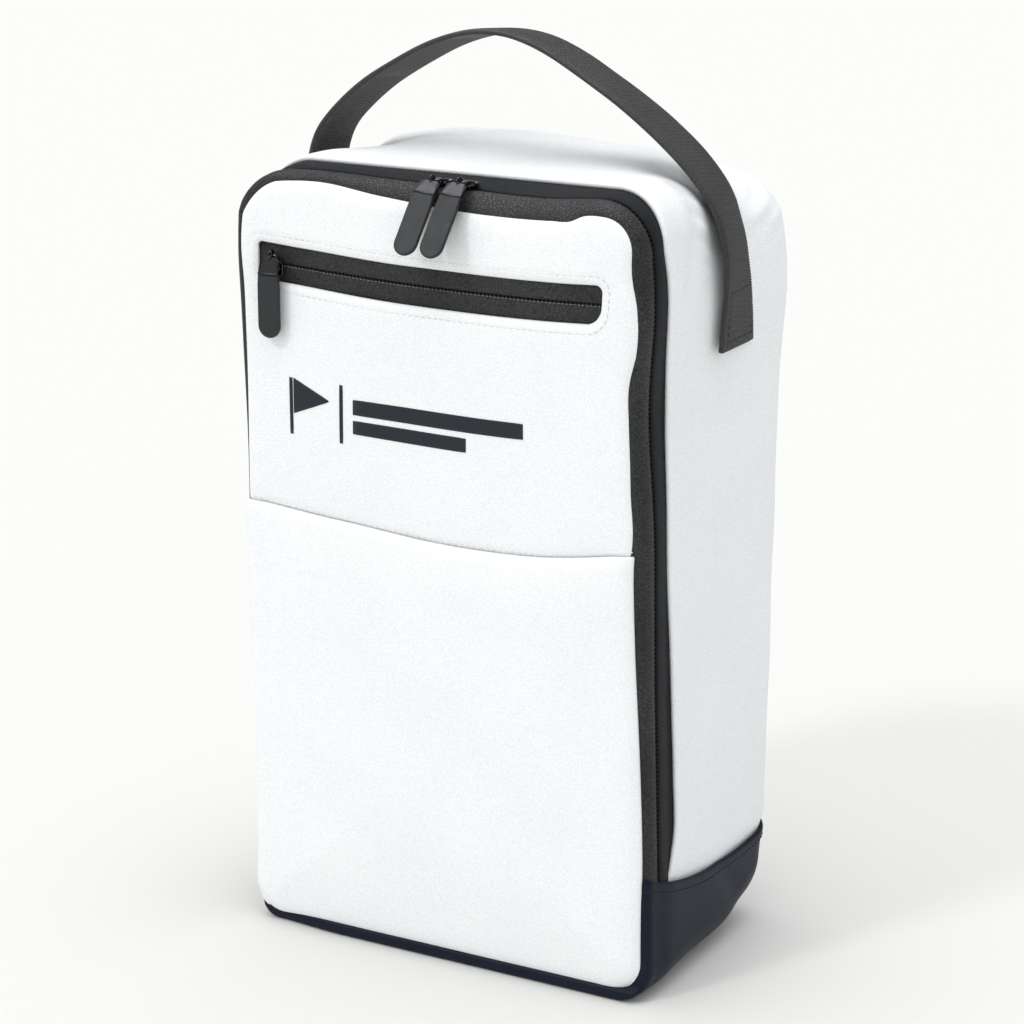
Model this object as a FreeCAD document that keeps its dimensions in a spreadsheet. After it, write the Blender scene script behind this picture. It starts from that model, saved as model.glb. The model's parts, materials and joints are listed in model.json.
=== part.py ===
import FreeCAD, Part
import math
import os
import Sketcher

# A zipped golf shoe bag. Millimetres, +X to the wearer's right, -Y the front panel, +Z up.
# The origin is the middle of the footprint, on the face the bag stands on.

DRIVING_SIZES = {
    # the body: an upright block whose sides lean in near the rounded top
    "half_width": 103.0,
    "half_depth": 62.5,
    "height": 360.0,
    "lean_start": 300.0,
    "half_crown": 95.5,
    "corner_radius": 24.0,
    "sewing_gap": 0.1,
    # the coated-fabric walls, their linings and the seam binding
    "wall": 2.5,
    "back_thickness": 4.2,
    "edge_round": 3.5,
    "lining_thickness": 0.6,
    "lining_inset": 6.2,
    "binding_thickness": 0.8,
    "binding_width": 8.0,
    "gusset_front": -39.0,
    # the dark boot at the bottom
    "base_top": 44.5,
    "base_wall": 2.2,
    "base_front": -59.0,
    "base_corner": 26.0,
    "hem_height": 7.5,
    "board_half_width": 74.0,
    "board_half_depth": 50.0,
    "board_thickness": 2.5,
    "board_corner": 10.0,
    # the U-shaped main zip
    "chain_front": -51.0,
    "tape_inset": 2.6,
    "tape_sink": 2.4,
    "tape_thickness": 0.8,
    "tape_reach": 17.0,
    "tape_gap": 0.6,
    "tape_foot": 60.0,
    "tape_tail_low": 46.0,
    "tape_flat": 5.0,
    "coil_inset": 3.5,
    "coil_thickness": 1.4,
    "coil_width": 2.8,
    "coil_gap": 0.8,
    # the white front panel, which folds down about its lower crease
    "fold_height": 59.0,
    "fold_gap": 0.2,
    "panel_thickness": 3.2,
    "panel_foot_half": 97.0,
    "panel_seam_half": 95.2,
    "panel_lean_half": 94.0,
    "panel_crown_half": 93.0,
    "panel_top": 349.5,
    "panel_radius": 15.5,
    "panel_seam": 201.0,
    "panel_tape_front": -61.3,
    "panel_tape_gap": 0.3,
    "foot_low": 5.0,
    "foot_half": 99.5,
    "foot_radius": 15.0,
    "foam_thickness": 2.6,
    "foam_margin": 6.0,
    "foam_low": 63.0,
    "pouch_thickness": 1.6,
    "pouch_low": 200.0,
    # the pocket zip in the front panel
    "window_left": -92.0,
    "window_right": 78.0,
    "window_low": 304.0,
    "window_high": 322.0,
    "window_round": 3.0,
    "window_margin": 2.0,
    "pocket_chain": 313.0,
    "pocket_tape_depth": 0.5,
    # sliders and their pullers
    "main_slider_left": -7.5,
    "main_slider_right": 8.5,
    "pocket_slider": -86.0,
    "slider_half_length": 5.0,
    "slider_half_depth": 4.0,
    "slider_nose": 1.6,
    "plate_thickness": 1.4,
    "plate_clearance": 0.5,
    "post_thickness": 0.8,
    "post_length": 1.6,
    "bail_half_length": 3.4,
    "bail_thickness": 1.2,
    "bail_reach": 5.6,
    "bail_root": 0.6,
    "bail_leg": 1.2,
    "link_eye_inner": 1.0,
    "link_eye_outer": 1.8,
    "link_half_width": 1.5,
    "link_knee_reach": 5.45,
    "link_knee_rise": 3.54,
    "link_reach": 7.45,
    "link_thickness": 1.2,
    "tab_length": 28.5,
    "tab_half_width": 4.75,
    "tab_thickness": 1.8,
    "main_puller_hang": 58.0,
    "pocket_puller_hang": 90.0,
    # the webbing carry handle
    "webbing_middle": 12.0,
    "webbing_half_width": 16.0,
    "webbing_thickness": 2.2,
    "webbing_end_low": 284.0,
    "handle_pivot": 336.0,
    "handle_lean": 4.5,
    "handle_foot_half": 104.4,
    "handle_shoulder_half": 100.0,
    "handle_shoulder": 361.5,
    "handle_shoulder_radius": 18.0,
    "handle_ridge": 432.0,
    "handle_ridge_radius": 77.0,
    # the generic print on the front panel: a pennant on a pole, a divider and plain bars
    "print_thickness": 0.3,
    "print_low": 238.0,
    "print_high": 264.0,
    "pole_left": -76.0,
    "pole_width": 1.6,
    "pennant_reach": 18.0,
    "pennant_height": 12.0,
    "divider_left": -47.0,
    "bar_left": -37.0,
    "bar_height": 3.6,
    "long_bar": 76.0,
    "short_bar": 50.0,
}

doc = FreeCAD.newDocument("golf_shoe_bag")
sheet = doc.addObject("Spreadsheet::Sheet", "sizes")


class Size:
    """A length that carries both its spreadsheet expression and its present value."""

    def __init__(self, text, value):
        self.text = text
        self.value = value

    def combine(self, other, sign, result):
        return Size(f"({self.text} {sign} {as_size(other).text})", result)

    def __add__(self, other):
        return self.combine(other, "+", self.value + as_size(other).value)

    def __sub__(self, other):
        return self.combine(other, "-", self.value - as_size(other).value)

    def __mul__(self, other):
        return self.combine(other, "*", self.value * as_size(other).value)

    def __neg__(self):
        return Size(f"(-1 * {self.text})", -self.value)


def as_size(number):
    return number if isinstance(number, Size) else Size(str(float(number)), float(number))


class Sizes:
    """The spreadsheet's cells, by alias."""


s = Sizes()
for row, (alias, number) in enumerate(DRIVING_SIZES.items(), start=1):
    cell = f"A{row}"
    sheet.set(cell, str(number))
    sheet.setAlias(cell, alias)
    setattr(s, alias, Size(f"sizes.{alias}", number))
doc.recompute()

FRONT = -s.half_depth
NONE = as_size(0.0)
subparts = []


def new_body(label):
    body = doc.addObject("PartDesign::Body", label)
    body.Label = label
    subparts.append(body)
    return body


def new_sketch(body, role, offset):
    """A sketch on the body's own origin plane, moved along that plane's normal."""
    plane = [feature for feature in body.Origin.OriginFeatures if feature.Role == role][0]
    sketch = body.newObject("Sketcher::SketchObject", f"{body.Label}_sketch")
    sketch.AttachmentSupport = [(plane, "")]
    sketch.MapMode = "FlatFace"
    sketch.setExpression("AttachmentOffset.Base.z", as_size(offset).text)
    return sketch


def bind(sketch, kind, first, size, *rest):
    """Adds one dimension and ties it to the spreadsheet."""
    index = sketch.addConstraint(Sketcher.Constraint(kind, *first, *rest, size.value))
    sketch.setExpression(f"Constraints[{index}]", size.text)


def add_loop(sketch, corners):
    """One closed loop of straight lines; a corner's third value rounds it."""
    first = sketch.GeometryCount
    corners = [tuple(as_size(number) for number in corner) for corner in corners]
    points = [FreeCAD.Vector(corner[0].value, corner[1].value, 0) for corner in corners]
    count = len(points)
    for index in range(count):
        sketch.addGeometry(Part.LineSegment(points[index], points[(index + 1) % count]))
    for index in range(count):
        following = first + (index + 1) % count
        sketch.addConstraint(Sketcher.Constraint("Coincident", first + index, 2, following, 1))
    for index, corner in enumerate(corners):
        bind(sketch, "DistanceX", (-1, 1), corner[0], first + index, 1)
        bind(sketch, "DistanceY", (-1, 1), corner[1], first + index, 1)
    for index, corner in enumerate(corners):
        if len(corner) == 3:
            sketch.fillet(first + index, 1, corner[2].value, True, True)
            arc = sketch.GeometryCount - 2
            bind(sketch, "Radius", (arc,), corner[2])


def add_circle(sketch, centre_x, centre_y, radius):
    centre_x, centre_y = as_size(centre_x), as_size(centre_y)
    centre = FreeCAD.Vector(centre_x.value, centre_y.value, 0)
    circle = sketch.addGeometry(Part.Circle(centre, FreeCAD.Vector(0, 0, 1), radius.value))
    bind(sketch, "DistanceX", (-1, 1), centre_x, circle, 3)
    bind(sketch, "DistanceY", (-1, 1), centre_y, circle, 3)
    bind(sketch, "Radius", (circle,), radius)


def add_pad(body, sketch, length, midplane=False):
    pad = body.newObject("PartDesign::Pad", f"{body.Label}_pad")
    pad.Profile = sketch
    pad.Midplane = midplane
    pad.setExpression("Length", as_size(length).text)
    return pad


def add_pocket(body, sketch, length, midplane=False):
    """Cuts against the sketch's normal, and makes sure that it took something away."""
    doc.recompute()
    before = body.Shape.Volume
    pocket = body.newObject("PartDesign::Pocket", f"{body.Label}_pocket")
    pocket.Profile = sketch
    pocket.Midplane = midplane
    pocket.setExpression("Length", as_size(length).text)
    doc.recompute()
    if not body.Shape.Volume < before:
        raise RuntimeError(f"a pocket of {body.Label} cut nothing")
    return pocket


def upright_plate(label, loops, front, back):
    """A solid with outlines in X and Z, from y = front to y = back."""
    body = new_body(label)
    sketch = new_sketch(body, "XZ_Plane", -as_size(back))
    for corners in loops:
        add_loop(sketch, corners)
    add_pad(body, sketch, as_size(back) - front)
    return body


def cut_upright(body, corners, front, back):
    sketch = new_sketch(body, "XZ_Plane", -as_size(front))
    add_loop(sketch, corners)
    add_pocket(body, sketch, as_size(back) - front)


def flat_plate(label, corners, low, high):
    """A solid with its outline in X and Y, from z = low to z = high."""
    body = new_body(label)
    sketch = new_sketch(body, "XY_Plane", low)
    add_loop(sketch, corners)
    add_pad(body, sketch, as_size(high) - low)
    return body


def mirrored(half):
    """A full outline from its left half, given from bottom to top."""
    right = [(-as_size(corner[0]), *corner[1:]) for corner in reversed(half)]
    return half + right


def rectangle(left, right, low, high, radius=None):
    corners = [(left, low), (left, high), (right, high), (right, low)]
    return corners if radius is None else [(*corner, radius) for corner in corners]


def arch(inset, low):
    """The body's outline seen from the front, moved inward: two feet, leaning sides, crown."""
    inset = as_size(inset)
    return mirrored([
        (inset - s.half_width, low),
        (inset - s.half_width, s.lean_start),
        (inset - s.half_crown, s.height - inset, s.corner_radius - inset),
    ])


def sunk_arch(inset, low):
    """The main zip's outline: as the body's, but its crown lies a little lower."""
    foot, lean, (crown_x, crown_z, radius) = arch(inset, low)[:3]
    return mirrored([foot, lean, (crown_x, crown_z - s.tape_sink, radius)])


def band(outline, grow_outer, grow_inner, low):
    """A strip between two outlines of one family, open at its feet."""
    return outline(grow_outer, low) + outline(grow_inner, low)[::-1]


def arch_strip(label, inset, thickness, front, back, low, outline=arch):
    loop = band(outline, inset, as_size(inset) + thickness, low)
    return upright_plate(label, [loop], front, back)


def panel_outline(grow, low):
    """The front panel's outline, moved outward by grow."""
    grow = as_size(grow)
    return mirrored([
        (-(s.panel_foot_half + grow), low),
        (-(s.panel_lean_half + grow), s.lean_start),
        (-(s.panel_crown_half + grow), s.panel_top + grow, s.panel_radius + grow),
    ])


def round_edges(body, radius, chosen):
    """Rounds the edges whose middle passes the test."""
    doc.recompute()
    base = body.Tip
    names = [
        f"Edge{index}"
        for index, edge in enumerate(base.Shape.Edges, start=1)
        if chosen(edge.CenterOfMass)
    ]
    fillet = body.newObject("PartDesign::Fillet", f"{body.Label}_fillet")
    fillet.Base = (base, names)
    fillet.setExpression("Radius", radius.text)


def build_walls():
    """The white gusset strip, the back, their linings and the binding inside the back seam."""
    above_hem = s.base_top + s.hem_height + s.sewing_gap
    back_front = s.half_depth - s.back_thickness
    seam = back_front - s.sewing_gap
    arch_strip("gusset_panel", 0, s.wall, s.gusset_front, seam, above_hem)
    back = upright_plate("back_panel", [arch(0, above_hem)], back_front, s.half_depth)
    on_back_face = s.half_depth.value - 0.01
    foot = above_hem.value + 1
    round_edges(back, s.edge_round, lambda p: p.y > on_back_face and p.z > foot)
    binding_front = seam - s.binding_width
    arch_strip("back_seam_binding", s.tape_inset, s.binding_thickness, binding_front, seam, above_hem)
    lining_low = s.base_top + s.sewing_gap
    lining_back = seam - s.edge_round * 0.5
    chain_side = s.chain_front + s.coil_gap + s.coil_width + s.lining_thickness * 2
    arch_strip(
        "gusset_lining", s.lining_inset, s.lining_thickness, chain_side, lining_back, lining_low
    )
    behind = lining_back + s.sewing_gap
    upright_plate(
        "back_lining", [arch(s.lining_inset, lining_low)], behind, behind + s.lining_thickness
    )


def base_outline(inset, top):
    return mirrored([
        (inset - s.half_width, top),
        (inset - s.half_width, inset, s.base_corner - inset),
    ])


def build_base():
    """The dark boot: a tub with round lower corners, its top hem, a stiff board and a lining."""
    tub = upright_plate("base_wrap", [base_outline(NONE, s.base_top)], s.base_front, s.half_depth)
    back_face = s.half_depth.value - 0.01
    rim = s.base_top.value - 0.01
    round_edges(tub, s.edge_round, lambda p: p.y > back_face and p.z < rim)
    hollow_top = s.base_top + s.base_wall
    cut_upright(
        tub,
        base_outline(s.base_wall, hollow_top),
        s.base_front + s.base_wall,
        s.half_depth - s.base_wall,
    )
    inner_side = s.half_width - s.base_wall
    inner_back = s.half_depth - s.base_wall
    hem = [
        (-s.half_width, s.base_front),
        (-s.half_width, s.half_depth, s.edge_round),
        (s.half_width, s.half_depth, s.edge_round),
        (s.half_width, s.base_front),
        (inner_side, s.base_front),
        (inner_side, inner_back),
        (-inner_side, inner_back),
        (-inner_side, s.base_front),
    ]
    hem_low = s.base_top + s.sewing_gap
    flat_plate("base_hem", hem, hem_low, s.base_top + s.hem_height)
    board_low = s.base_wall + s.sewing_gap
    board_top = board_low + s.board_thickness
    footprint = rectangle(
        -s.board_half_width,
        s.board_half_width,
        -s.board_half_depth,
        s.board_half_depth,
        s.board_corner,
    )
    flat_plate("base_board", footprint, board_low, board_top)
    lining_low = board_top + s.sewing_gap
    flat_plate("floor_lining", footprint, lining_low, lining_low + s.lining_thickness)


def build_main_zip():
    """Two halves of the U-shaped zip: the rear half on the walls, the front half on the panel."""
    rear_start = s.chain_front + s.tape_gap
    rear_end = rear_start + s.tape_reach
    tail = s.tape_tail_low
    tape_sizes = (s.tape_inset, s.tape_thickness)
    arch_strip("shell_zip_tape", *tape_sizes, rear_start, rear_end, tail, sunk_arch)
    coil_sizes = (s.coil_inset, s.coil_thickness)
    rear_coil = (s.chain_front + s.coil_gap, s.chain_front + s.coil_gap + s.coil_width)
    front_coil = (s.chain_front - s.coil_gap - s.coil_width, s.chain_front - s.coil_gap)
    arch_strip("shell_zip_coil", *coil_sizes, *rear_coil, tail, sunk_arch)
    arch_strip("lid_zip_coil", *coil_sizes, *front_coil, s.tape_foot, sunk_arch)
    tape = new_body("lid_zip_tape")
    inner_inset = s.tape_inset + s.tape_thickness
    inner_grow = s.panel_tape_gap
    outer_grow = inner_grow + s.tape_thickness
    flat_start = s.chain_front - s.tape_gap
    sections = []
    for place in (flat_start, flat_start - s.tape_flat):
        section = new_sketch(tape, "XZ_Plane", -place)
        add_loop(section, band(sunk_arch, s.tape_inset, inner_inset, s.tape_foot))
        sections.append(section)
    section = new_sketch(tape, "XZ_Plane", -s.panel_tape_front)
    add_loop(section, band(panel_outline, outer_grow, inner_grow, s.tape_foot))
    sections.append(section)
    loft = tape.newObject("PartDesign::AdditiveLoft", "lid_zip_tape_loft")
    loft.Profile = sections[0]
    loft.Sections = sections[1:]
    loft.Ruled = True
    # below the crease the front tape's ends are sewn down inside the hem
    for label, side in (("zip_end_left", -1.0), ("zip_end_right", 1.0)):
        outside = (s.half_width - s.tape_inset) * side
        inside = (s.half_width - inner_inset) * side
        loop = rectangle(outside, inside, tail, s.fold_height - s.fold_gap)
        upright_plate(label, [loop], s.base_front, flat_start)


def build_front_panel():
    """The white front: a fixed foot below the crease, and two panels that fold down."""
    panel_back = FRONT + s.panel_thickness
    foot = mirrored([
        (-s.foot_half, s.fold_height - s.fold_gap),
        (-s.foot_half, s.foot_low, s.foot_radius),
    ])
    upright_plate("front_panel_foot", [foot], FRONT, panel_back)
    seam_low = s.panel_seam - s.sewing_gap
    lower = mirrored([
        (-s.panel_foot_half, s.fold_height + s.fold_gap),
        (-s.panel_seam_half, seam_low),
    ])
    upright_plate("front_panel_lower", [lower], FRONT, panel_back)
    upper = mirrored([
        (-s.panel_seam_half, s.panel_seam),
        (-s.panel_lean_half, s.lean_start),
        (-s.panel_crown_half, s.panel_top, s.panel_radius),
    ])
    window = rectangle(
        s.window_left, s.window_right, s.window_low, s.window_high, s.window_round
    )
    upright_plate("front_panel_upper", [upper, window], FRONT, panel_back)

    foam_front = panel_back + s.sewing_gap
    foam_back = foam_front + s.foam_thickness
    relief = rectangle(
        s.window_left - s.window_margin,
        s.window_right + s.window_margin,
        s.window_low - s.window_margin,
        s.window_high + s.window_margin,
    )
    padding = panel_outline(-s.foam_margin, s.foam_low)
    foam = upright_plate("lid_foam", [padding], foam_front, foam_back)
    cut_upright(foam, relief, foam_front, foam_back)
    pouch_front = foam_back + s.sewing_gap
    pouch_back = pouch_front + s.pouch_thickness
    pouch = rectangle(
        s.window_left, s.window_right, s.pouch_low, s.window_high + s.window_margin, s.window_round
    )
    upright_plate("pocket_bag", [pouch], pouch_front, pouch_back)
    lining_front = pouch_back + s.sewing_gap
    upright_plate("lid_lining", [padding], lining_front, lining_front + s.lining_thickness)


def build_pocket_zip():
    """The straight zip in the window of the front panel."""
    tape_front = FRONT + s.pocket_tape_depth
    tape_back = tape_front + s.tape_thickness
    coil_front = tape_back + s.sewing_gap
    coil_back = coil_front + s.coil_thickness
    left = s.window_left + s.sewing_gap
    right = s.window_right - s.sewing_gap
    upper_edges = (s.pocket_chain + s.tape_gap, s.window_high - s.sewing_gap)
    lower_edges = (s.window_low + s.sewing_gap, s.pocket_chain - s.tape_gap)
    round_by = s.window_round
    upper = [
        (left, upper_edges[0]),
        (left, upper_edges[1], round_by),
        (right, upper_edges[1], round_by),
        (right, upper_edges[0]),
    ]
    lower = [
        (left, lower_edges[1]),
        (left, lower_edges[0], round_by),
        (right, lower_edges[0], round_by),
        (right, lower_edges[1]),
    ]
    upright_plate("pocket_tape_upper", [upper], tape_front, tape_back)
    upright_plate("pocket_tape_lower", [lower], tape_front, tape_back)
    above = s.pocket_chain + s.coil_gap
    below = s.pocket_chain - s.coil_gap
    upper_coil = rectangle(left, right, above, above + s.coil_width)
    lower_coil = rectangle(left, right, below - s.coil_width, below)
    upright_plate("pocket_coil_upper", [upper_coil], coil_front, coil_back)
    upright_plate("pocket_coil_lower", [lower_coil], coil_front, coil_back)


def build_print():
    """A generic print: a pennant on a pole, a divider and plain bars, as thin raised solids."""
    pole_right = s.pole_left + s.pole_width
    pole = rectangle(s.pole_left, pole_right, s.print_low, s.print_high)
    pennant_root = pole_right + s.sewing_gap * 4
    pennant = [
        (pennant_root, s.print_high),
        (pennant_root + s.pennant_reach, s.print_high - s.pennant_height * 0.5),
        (pennant_root, s.print_high - s.pennant_height),
    ]
    divider = rectangle(s.divider_left, s.divider_left + s.pole_width, s.print_low, s.print_high)
    loops = [pole, pennant, divider]
    middle = (s.print_low + s.print_high) * 0.5
    rows = ((s.bar_height * 0.5, s.long_bar), (s.bar_height * -1.5, s.short_bar))
    for rise, length in rows:
        low = middle + rise
        loops.append(rectangle(s.bar_left, s.bar_left + length, low, low + s.bar_height))
    print_back = FRONT - s.sewing_gap
    body = upright_plate("front_emblem", loops, print_back - s.print_thickness, print_back)
    body.AllowCompound = True


def build_handle():
    """One webbing strap: two ends sewn flat on the sides and a stiff loop between them."""
    front = s.webbing_middle - s.webbing_half_width
    back = s.webbing_middle + s.webbing_half_width
    lean = s.handle_lean
    for label, side in (("handle_end_left", -1.0), ("handle_end_right", 1.0)):
        skin = s.half_width + s.sewing_gap
        outside = skin + s.webbing_thickness
        strip = [
            (skin * side, s.webbing_end_low),
            (skin * side, s.lean_start),
            ((skin - lean) * side, s.handle_pivot),
            ((outside - lean) * side, s.handle_pivot),
            (outside * side, s.lean_start),
            (outside * side, s.webbing_end_low),
        ]
        upright_plate(label, [strip], front, back)
    foot = s.handle_pivot + s.sewing_gap
    thin = s.webbing_thickness
    # the roof lines slope 0.72 down from the ridge, so the inner ridge lies 1.23 times as deep
    ridge_drop = thin * 1.23
    shoulder_drop = thin * 0.52
    outer = [
        (-s.handle_foot_half, foot),
        (-s.handle_shoulder_half, s.handle_shoulder, s.handle_shoulder_radius),
        (NONE, s.handle_ridge, s.handle_ridge_radius),
        (s.handle_shoulder_half, s.handle_shoulder, s.handle_shoulder_radius),
        (s.handle_foot_half, foot),
    ]
    inner = [
        (s.handle_foot_half - thin, foot),
        (
            s.handle_shoulder_half - thin,
            s.handle_shoulder - shoulder_drop,
            s.handle_shoulder_radius - thin,
        ),
        (NONE, s.handle_ridge - ridge_drop, s.handle_ridge_radius - thin),
        (
            thin - s.handle_shoulder_half,
            s.handle_shoulder - shoulder_drop,
            s.handle_shoulder_radius - thin,
        ),
        (thin - s.handle_foot_half, foot),
    ]
    upright_plate("carry_handle", [outer + inner], front, back)


def place(body, where, roll, turn=0.0):
    """Puts a piece made about its own origin at a point, rolled about X, then turned about Z."""
    for axis, size in zip("xyz", where):
        body.setExpression(f"Placement.Base.{axis}", as_size(size).text)
    rolled = FreeCAD.Rotation(FreeCAD.Vector(1, 0, 0), roll)
    turned = FreeCAD.Rotation(FreeCAD.Vector(0, 0, 1), turn)
    body.Placement = FreeCAD.Placement(body.Placement.Base, turned.multiply(rolled))


def slider_body(label, where, roll, turn):
    """Two plates joined by a wedge post; the chain runs along X between them.

    The piece's own origin is on the outer face of the tape, over the chain's middle line.
    """
    body = new_body(label)
    nose = s.slider_nose
    plate = [
        (-s.slider_half_length, -s.slider_half_depth, nose),
        (-s.slider_half_length, s.slider_half_depth, nose),
        (s.slider_half_length, s.slider_half_depth - nose, nose),
        (s.slider_half_length, nose - s.slider_half_depth, nose),
    ]
    upper_low = s.plate_clearance
    upper_high = upper_low + s.plate_thickness
    coil_back = s.coil_inset - s.tape_inset + s.coil_thickness
    lower_high = -(coil_back + s.plate_clearance)
    upper = new_sketch(body, "XY_Plane", upper_low)
    add_loop(upper, plate)
    add_pad(body, upper, s.plate_thickness)
    post = new_sketch(body, "XY_Plane", lower_high)
    half_post = s.post_thickness * 0.5
    post_end = s.post_length - s.slider_half_length + s.post_thickness
    post_start = s.post_thickness - s.slider_half_length
    add_loop(post, rectangle(post_start, post_end, -half_post, half_post))
    add_pad(body, post, upper_high - lower_high - s.plate_thickness * 0.5)
    lower = new_sketch(body, "XY_Plane", lower_high - s.plate_thickness)
    add_loop(lower, plate)
    add_pad(body, lower, s.plate_thickness)
    place(body, where, roll, turn)


def slider_bail(label, where, roll, side):
    """A flat loop on the slider's outer plate whose bar lies beyond the plate's edge.

    The bar is on the piece's +Y side where side is 1 and on its -Y side where side is -1.
    """
    body = new_body(label)
    half_bar = s.bail_thickness * 0.5
    sketch = new_sketch(body, "XY_Plane", s.plate_clearance + s.plate_thickness)
    outer = s.bail_half_length
    inner = s.bail_half_length - s.bail_leg
    root = s.bail_root * side
    far = (s.bail_reach + half_bar) * side
    near = (s.bail_reach - half_bar) * side
    add_loop(sketch, [
        (-outer, root),
        (-outer, far, half_bar),
        (outer, far, half_bar),
        (outer, root),
        (inner, root),
        (inner, near, half_bar * 0.5),
        (-inner, near, half_bar * 0.5),
        (-inner, root),
    ])
    add_pad(body, sketch, s.bail_thickness)
    place(body, where, roll)


def puller_link(label, where, roll):
    """An eye around the bail's bar, with a flat arm that bends over to run towards -Y."""
    body = new_body(label)
    eye = new_sketch(body, "YZ_Plane", NONE)
    add_circle(eye, 0, 0, s.link_eye_outer)
    width = s.link_half_width * 2
    add_pad(body, eye, width, midplane=True)
    knee_y, knee_z = -s.link_knee_reach, s.link_knee_rise
    slope = math.atan2(s.link_knee_rise.value, s.link_knee_reach.value)
    half = s.link_thickness * 0.5
    across_y, across_z = half * math.sin(slope), half * math.cos(slope)
    mitre = half * math.tan(slope * 0.5)
    start = (s.link_eye_inner + s.link_eye_outer) * 0.5
    start_y, start_z = start * -math.cos(slope), start * math.sin(slope)
    arm = new_sketch(body, "YZ_Plane", NONE)
    add_loop(arm, [
        (start_y + across_y, start_z + across_z),
        (knee_y + mitre, knee_z + half),
        (-s.link_reach, knee_z + half),
        (-s.link_reach, knee_z - half),
        (knee_y - mitre, knee_z - half),
        (start_y - across_y, start_z - across_z),
    ])
    add_pad(body, arm, width, midplane=True)
    hole = new_sketch(body, "YZ_Plane", NONE)
    add_circle(hole, 0, 0, s.link_eye_inner)
    add_pocket(body, hole, width * 2, midplane=True)
    place(body, where, roll)


def puller_tab(label, where, roll):
    """The moulded finger tab at the end of the link."""
    body = new_body(label)
    sketch = new_sketch(body, "XY_Plane", s.link_knee_rise - s.tab_thickness * 0.5)
    start = -(s.link_reach + s.sewing_gap * 0.5)
    end = start - s.tab_length
    shoulder = s.tab_half_width * 0.6
    add_loop(sketch, [
        (-shoulder, start, s.tab_thickness),
        (-s.tab_half_width, start - s.tab_half_width),
        (-s.tab_half_width, end, shoulder),
        (s.tab_half_width, end, shoulder),
        (s.tab_half_width, start - s.tab_half_width),
        (shoulder, start, s.tab_thickness),
    ])
    add_pad(body, sketch, s.tab_thickness)
    place(body, where, roll)


def build_slider_set(name, chain_point, roll, turn, outward, side, hang):
    """A slider, its bail and its puller; outward points away from the tape's outer face.

    The bail's bar is reached from the chain along side times the piece's own Y direction.
    """
    slider_body(f"{name}_slider_body", chain_point, roll, turn)
    slider_bail(f"{name}_slider_bail", chain_point, roll, side)
    lift = s.plate_clearance + s.plate_thickness + s.bail_thickness * 0.5
    own_y = (0.0, math.cos(math.radians(roll)), math.sin(math.radians(roll)))
    pivot = tuple(
        as_size(size) + lift * out + s.bail_reach * round(side * along, 6)
        for size, out, along in zip(chain_point, outward, own_y)
    )
    puller_link(f"{name}_puller_link", pivot, hang.value)
    puller_tab(f"{name}_puller_tab", pivot, hang.value)


def build_sliders():
    tape_top = s.height - s.tape_inset - s.tape_sink
    upward = (0.0, 0.0, 1.0)
    for name, x, turn in (
        ("main_left", s.main_slider_left, 180.0),
        ("main_right", s.main_slider_right, 0.0),
    ):
        chain_point = (x, s.chain_front, tape_top)
        build_slider_set(name, chain_point, 0.0, turn, upward, -1, s.main_puller_hang)
    chain_point = (s.pocket_slider, FRONT + s.pocket_tape_depth, s.pocket_chain)
    forward = (0.0, -1.0, 0.0)
    build_slider_set("pocket", chain_point, 90.0, 0.0, forward, 1, s.pocket_puller_hang)


def check_and_export():
    """Stops on any failed object, then writes each sub-part to its own file."""
    doc.recompute()
    for item in doc.Objects:
        if "Invalid" in item.State or "Error" in item.State:
            raise RuntimeError(f"{item.Label} failed: {item.State}")
    for body in subparts:
        if body.Shape.isNull() or not body.Shape.isValid():
            raise RuntimeError(f"{body.Label} has no valid shape")
    os.makedirs("parts", exist_ok=True)
    for body in subparts:
        body.Shape.exportStep(f"parts/{body.Label}.step")


build_base()
build_walls()
build_main_zip()
build_front_panel()
build_pocket_zip()
build_print()
build_handle()
build_sliders()
check_and_export()
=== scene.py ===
"""Looks for a zipped golf shoe bag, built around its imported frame.

+Z is up, -Y is the front panel and +X the right side seen from the front. Shapes are worked
out in millimetres, and add_piece() makes them metres. Soft pieces are sheets laid out on the
bag's plain outline and then moved by settle(), the bag's overall sag.
"""
import json
import math

import bmesh
import bpy
import numpy as np
from mathutils import Matrix, Vector


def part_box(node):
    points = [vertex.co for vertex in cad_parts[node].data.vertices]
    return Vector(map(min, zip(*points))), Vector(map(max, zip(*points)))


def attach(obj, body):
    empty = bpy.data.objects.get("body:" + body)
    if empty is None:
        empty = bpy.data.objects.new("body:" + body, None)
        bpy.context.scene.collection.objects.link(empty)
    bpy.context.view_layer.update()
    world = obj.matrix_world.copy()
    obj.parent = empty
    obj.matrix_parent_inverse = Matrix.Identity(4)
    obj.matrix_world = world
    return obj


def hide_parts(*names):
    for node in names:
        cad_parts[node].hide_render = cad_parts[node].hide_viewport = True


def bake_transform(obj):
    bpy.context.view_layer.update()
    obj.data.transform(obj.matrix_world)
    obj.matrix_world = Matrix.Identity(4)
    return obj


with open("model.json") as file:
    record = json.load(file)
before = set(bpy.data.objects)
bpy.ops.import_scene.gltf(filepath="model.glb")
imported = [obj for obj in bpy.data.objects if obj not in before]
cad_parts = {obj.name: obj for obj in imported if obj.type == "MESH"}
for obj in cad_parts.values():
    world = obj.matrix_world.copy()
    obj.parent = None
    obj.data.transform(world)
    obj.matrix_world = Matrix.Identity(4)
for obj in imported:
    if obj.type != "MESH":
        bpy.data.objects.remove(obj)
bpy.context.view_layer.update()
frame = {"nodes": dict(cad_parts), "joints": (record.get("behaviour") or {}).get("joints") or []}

MM = 0.001


def low(node):
    return np.array(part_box(node)[0]) / MM


def high(node):
    return np.array(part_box(node)[1]) / MM


def joint_point(name):
    return np.array(next(j for j in frame["joints"] if j["name"] == name)["pos_m"], float) / MM


def metres(*point):
    return tuple(value * MM for value in point)


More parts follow.
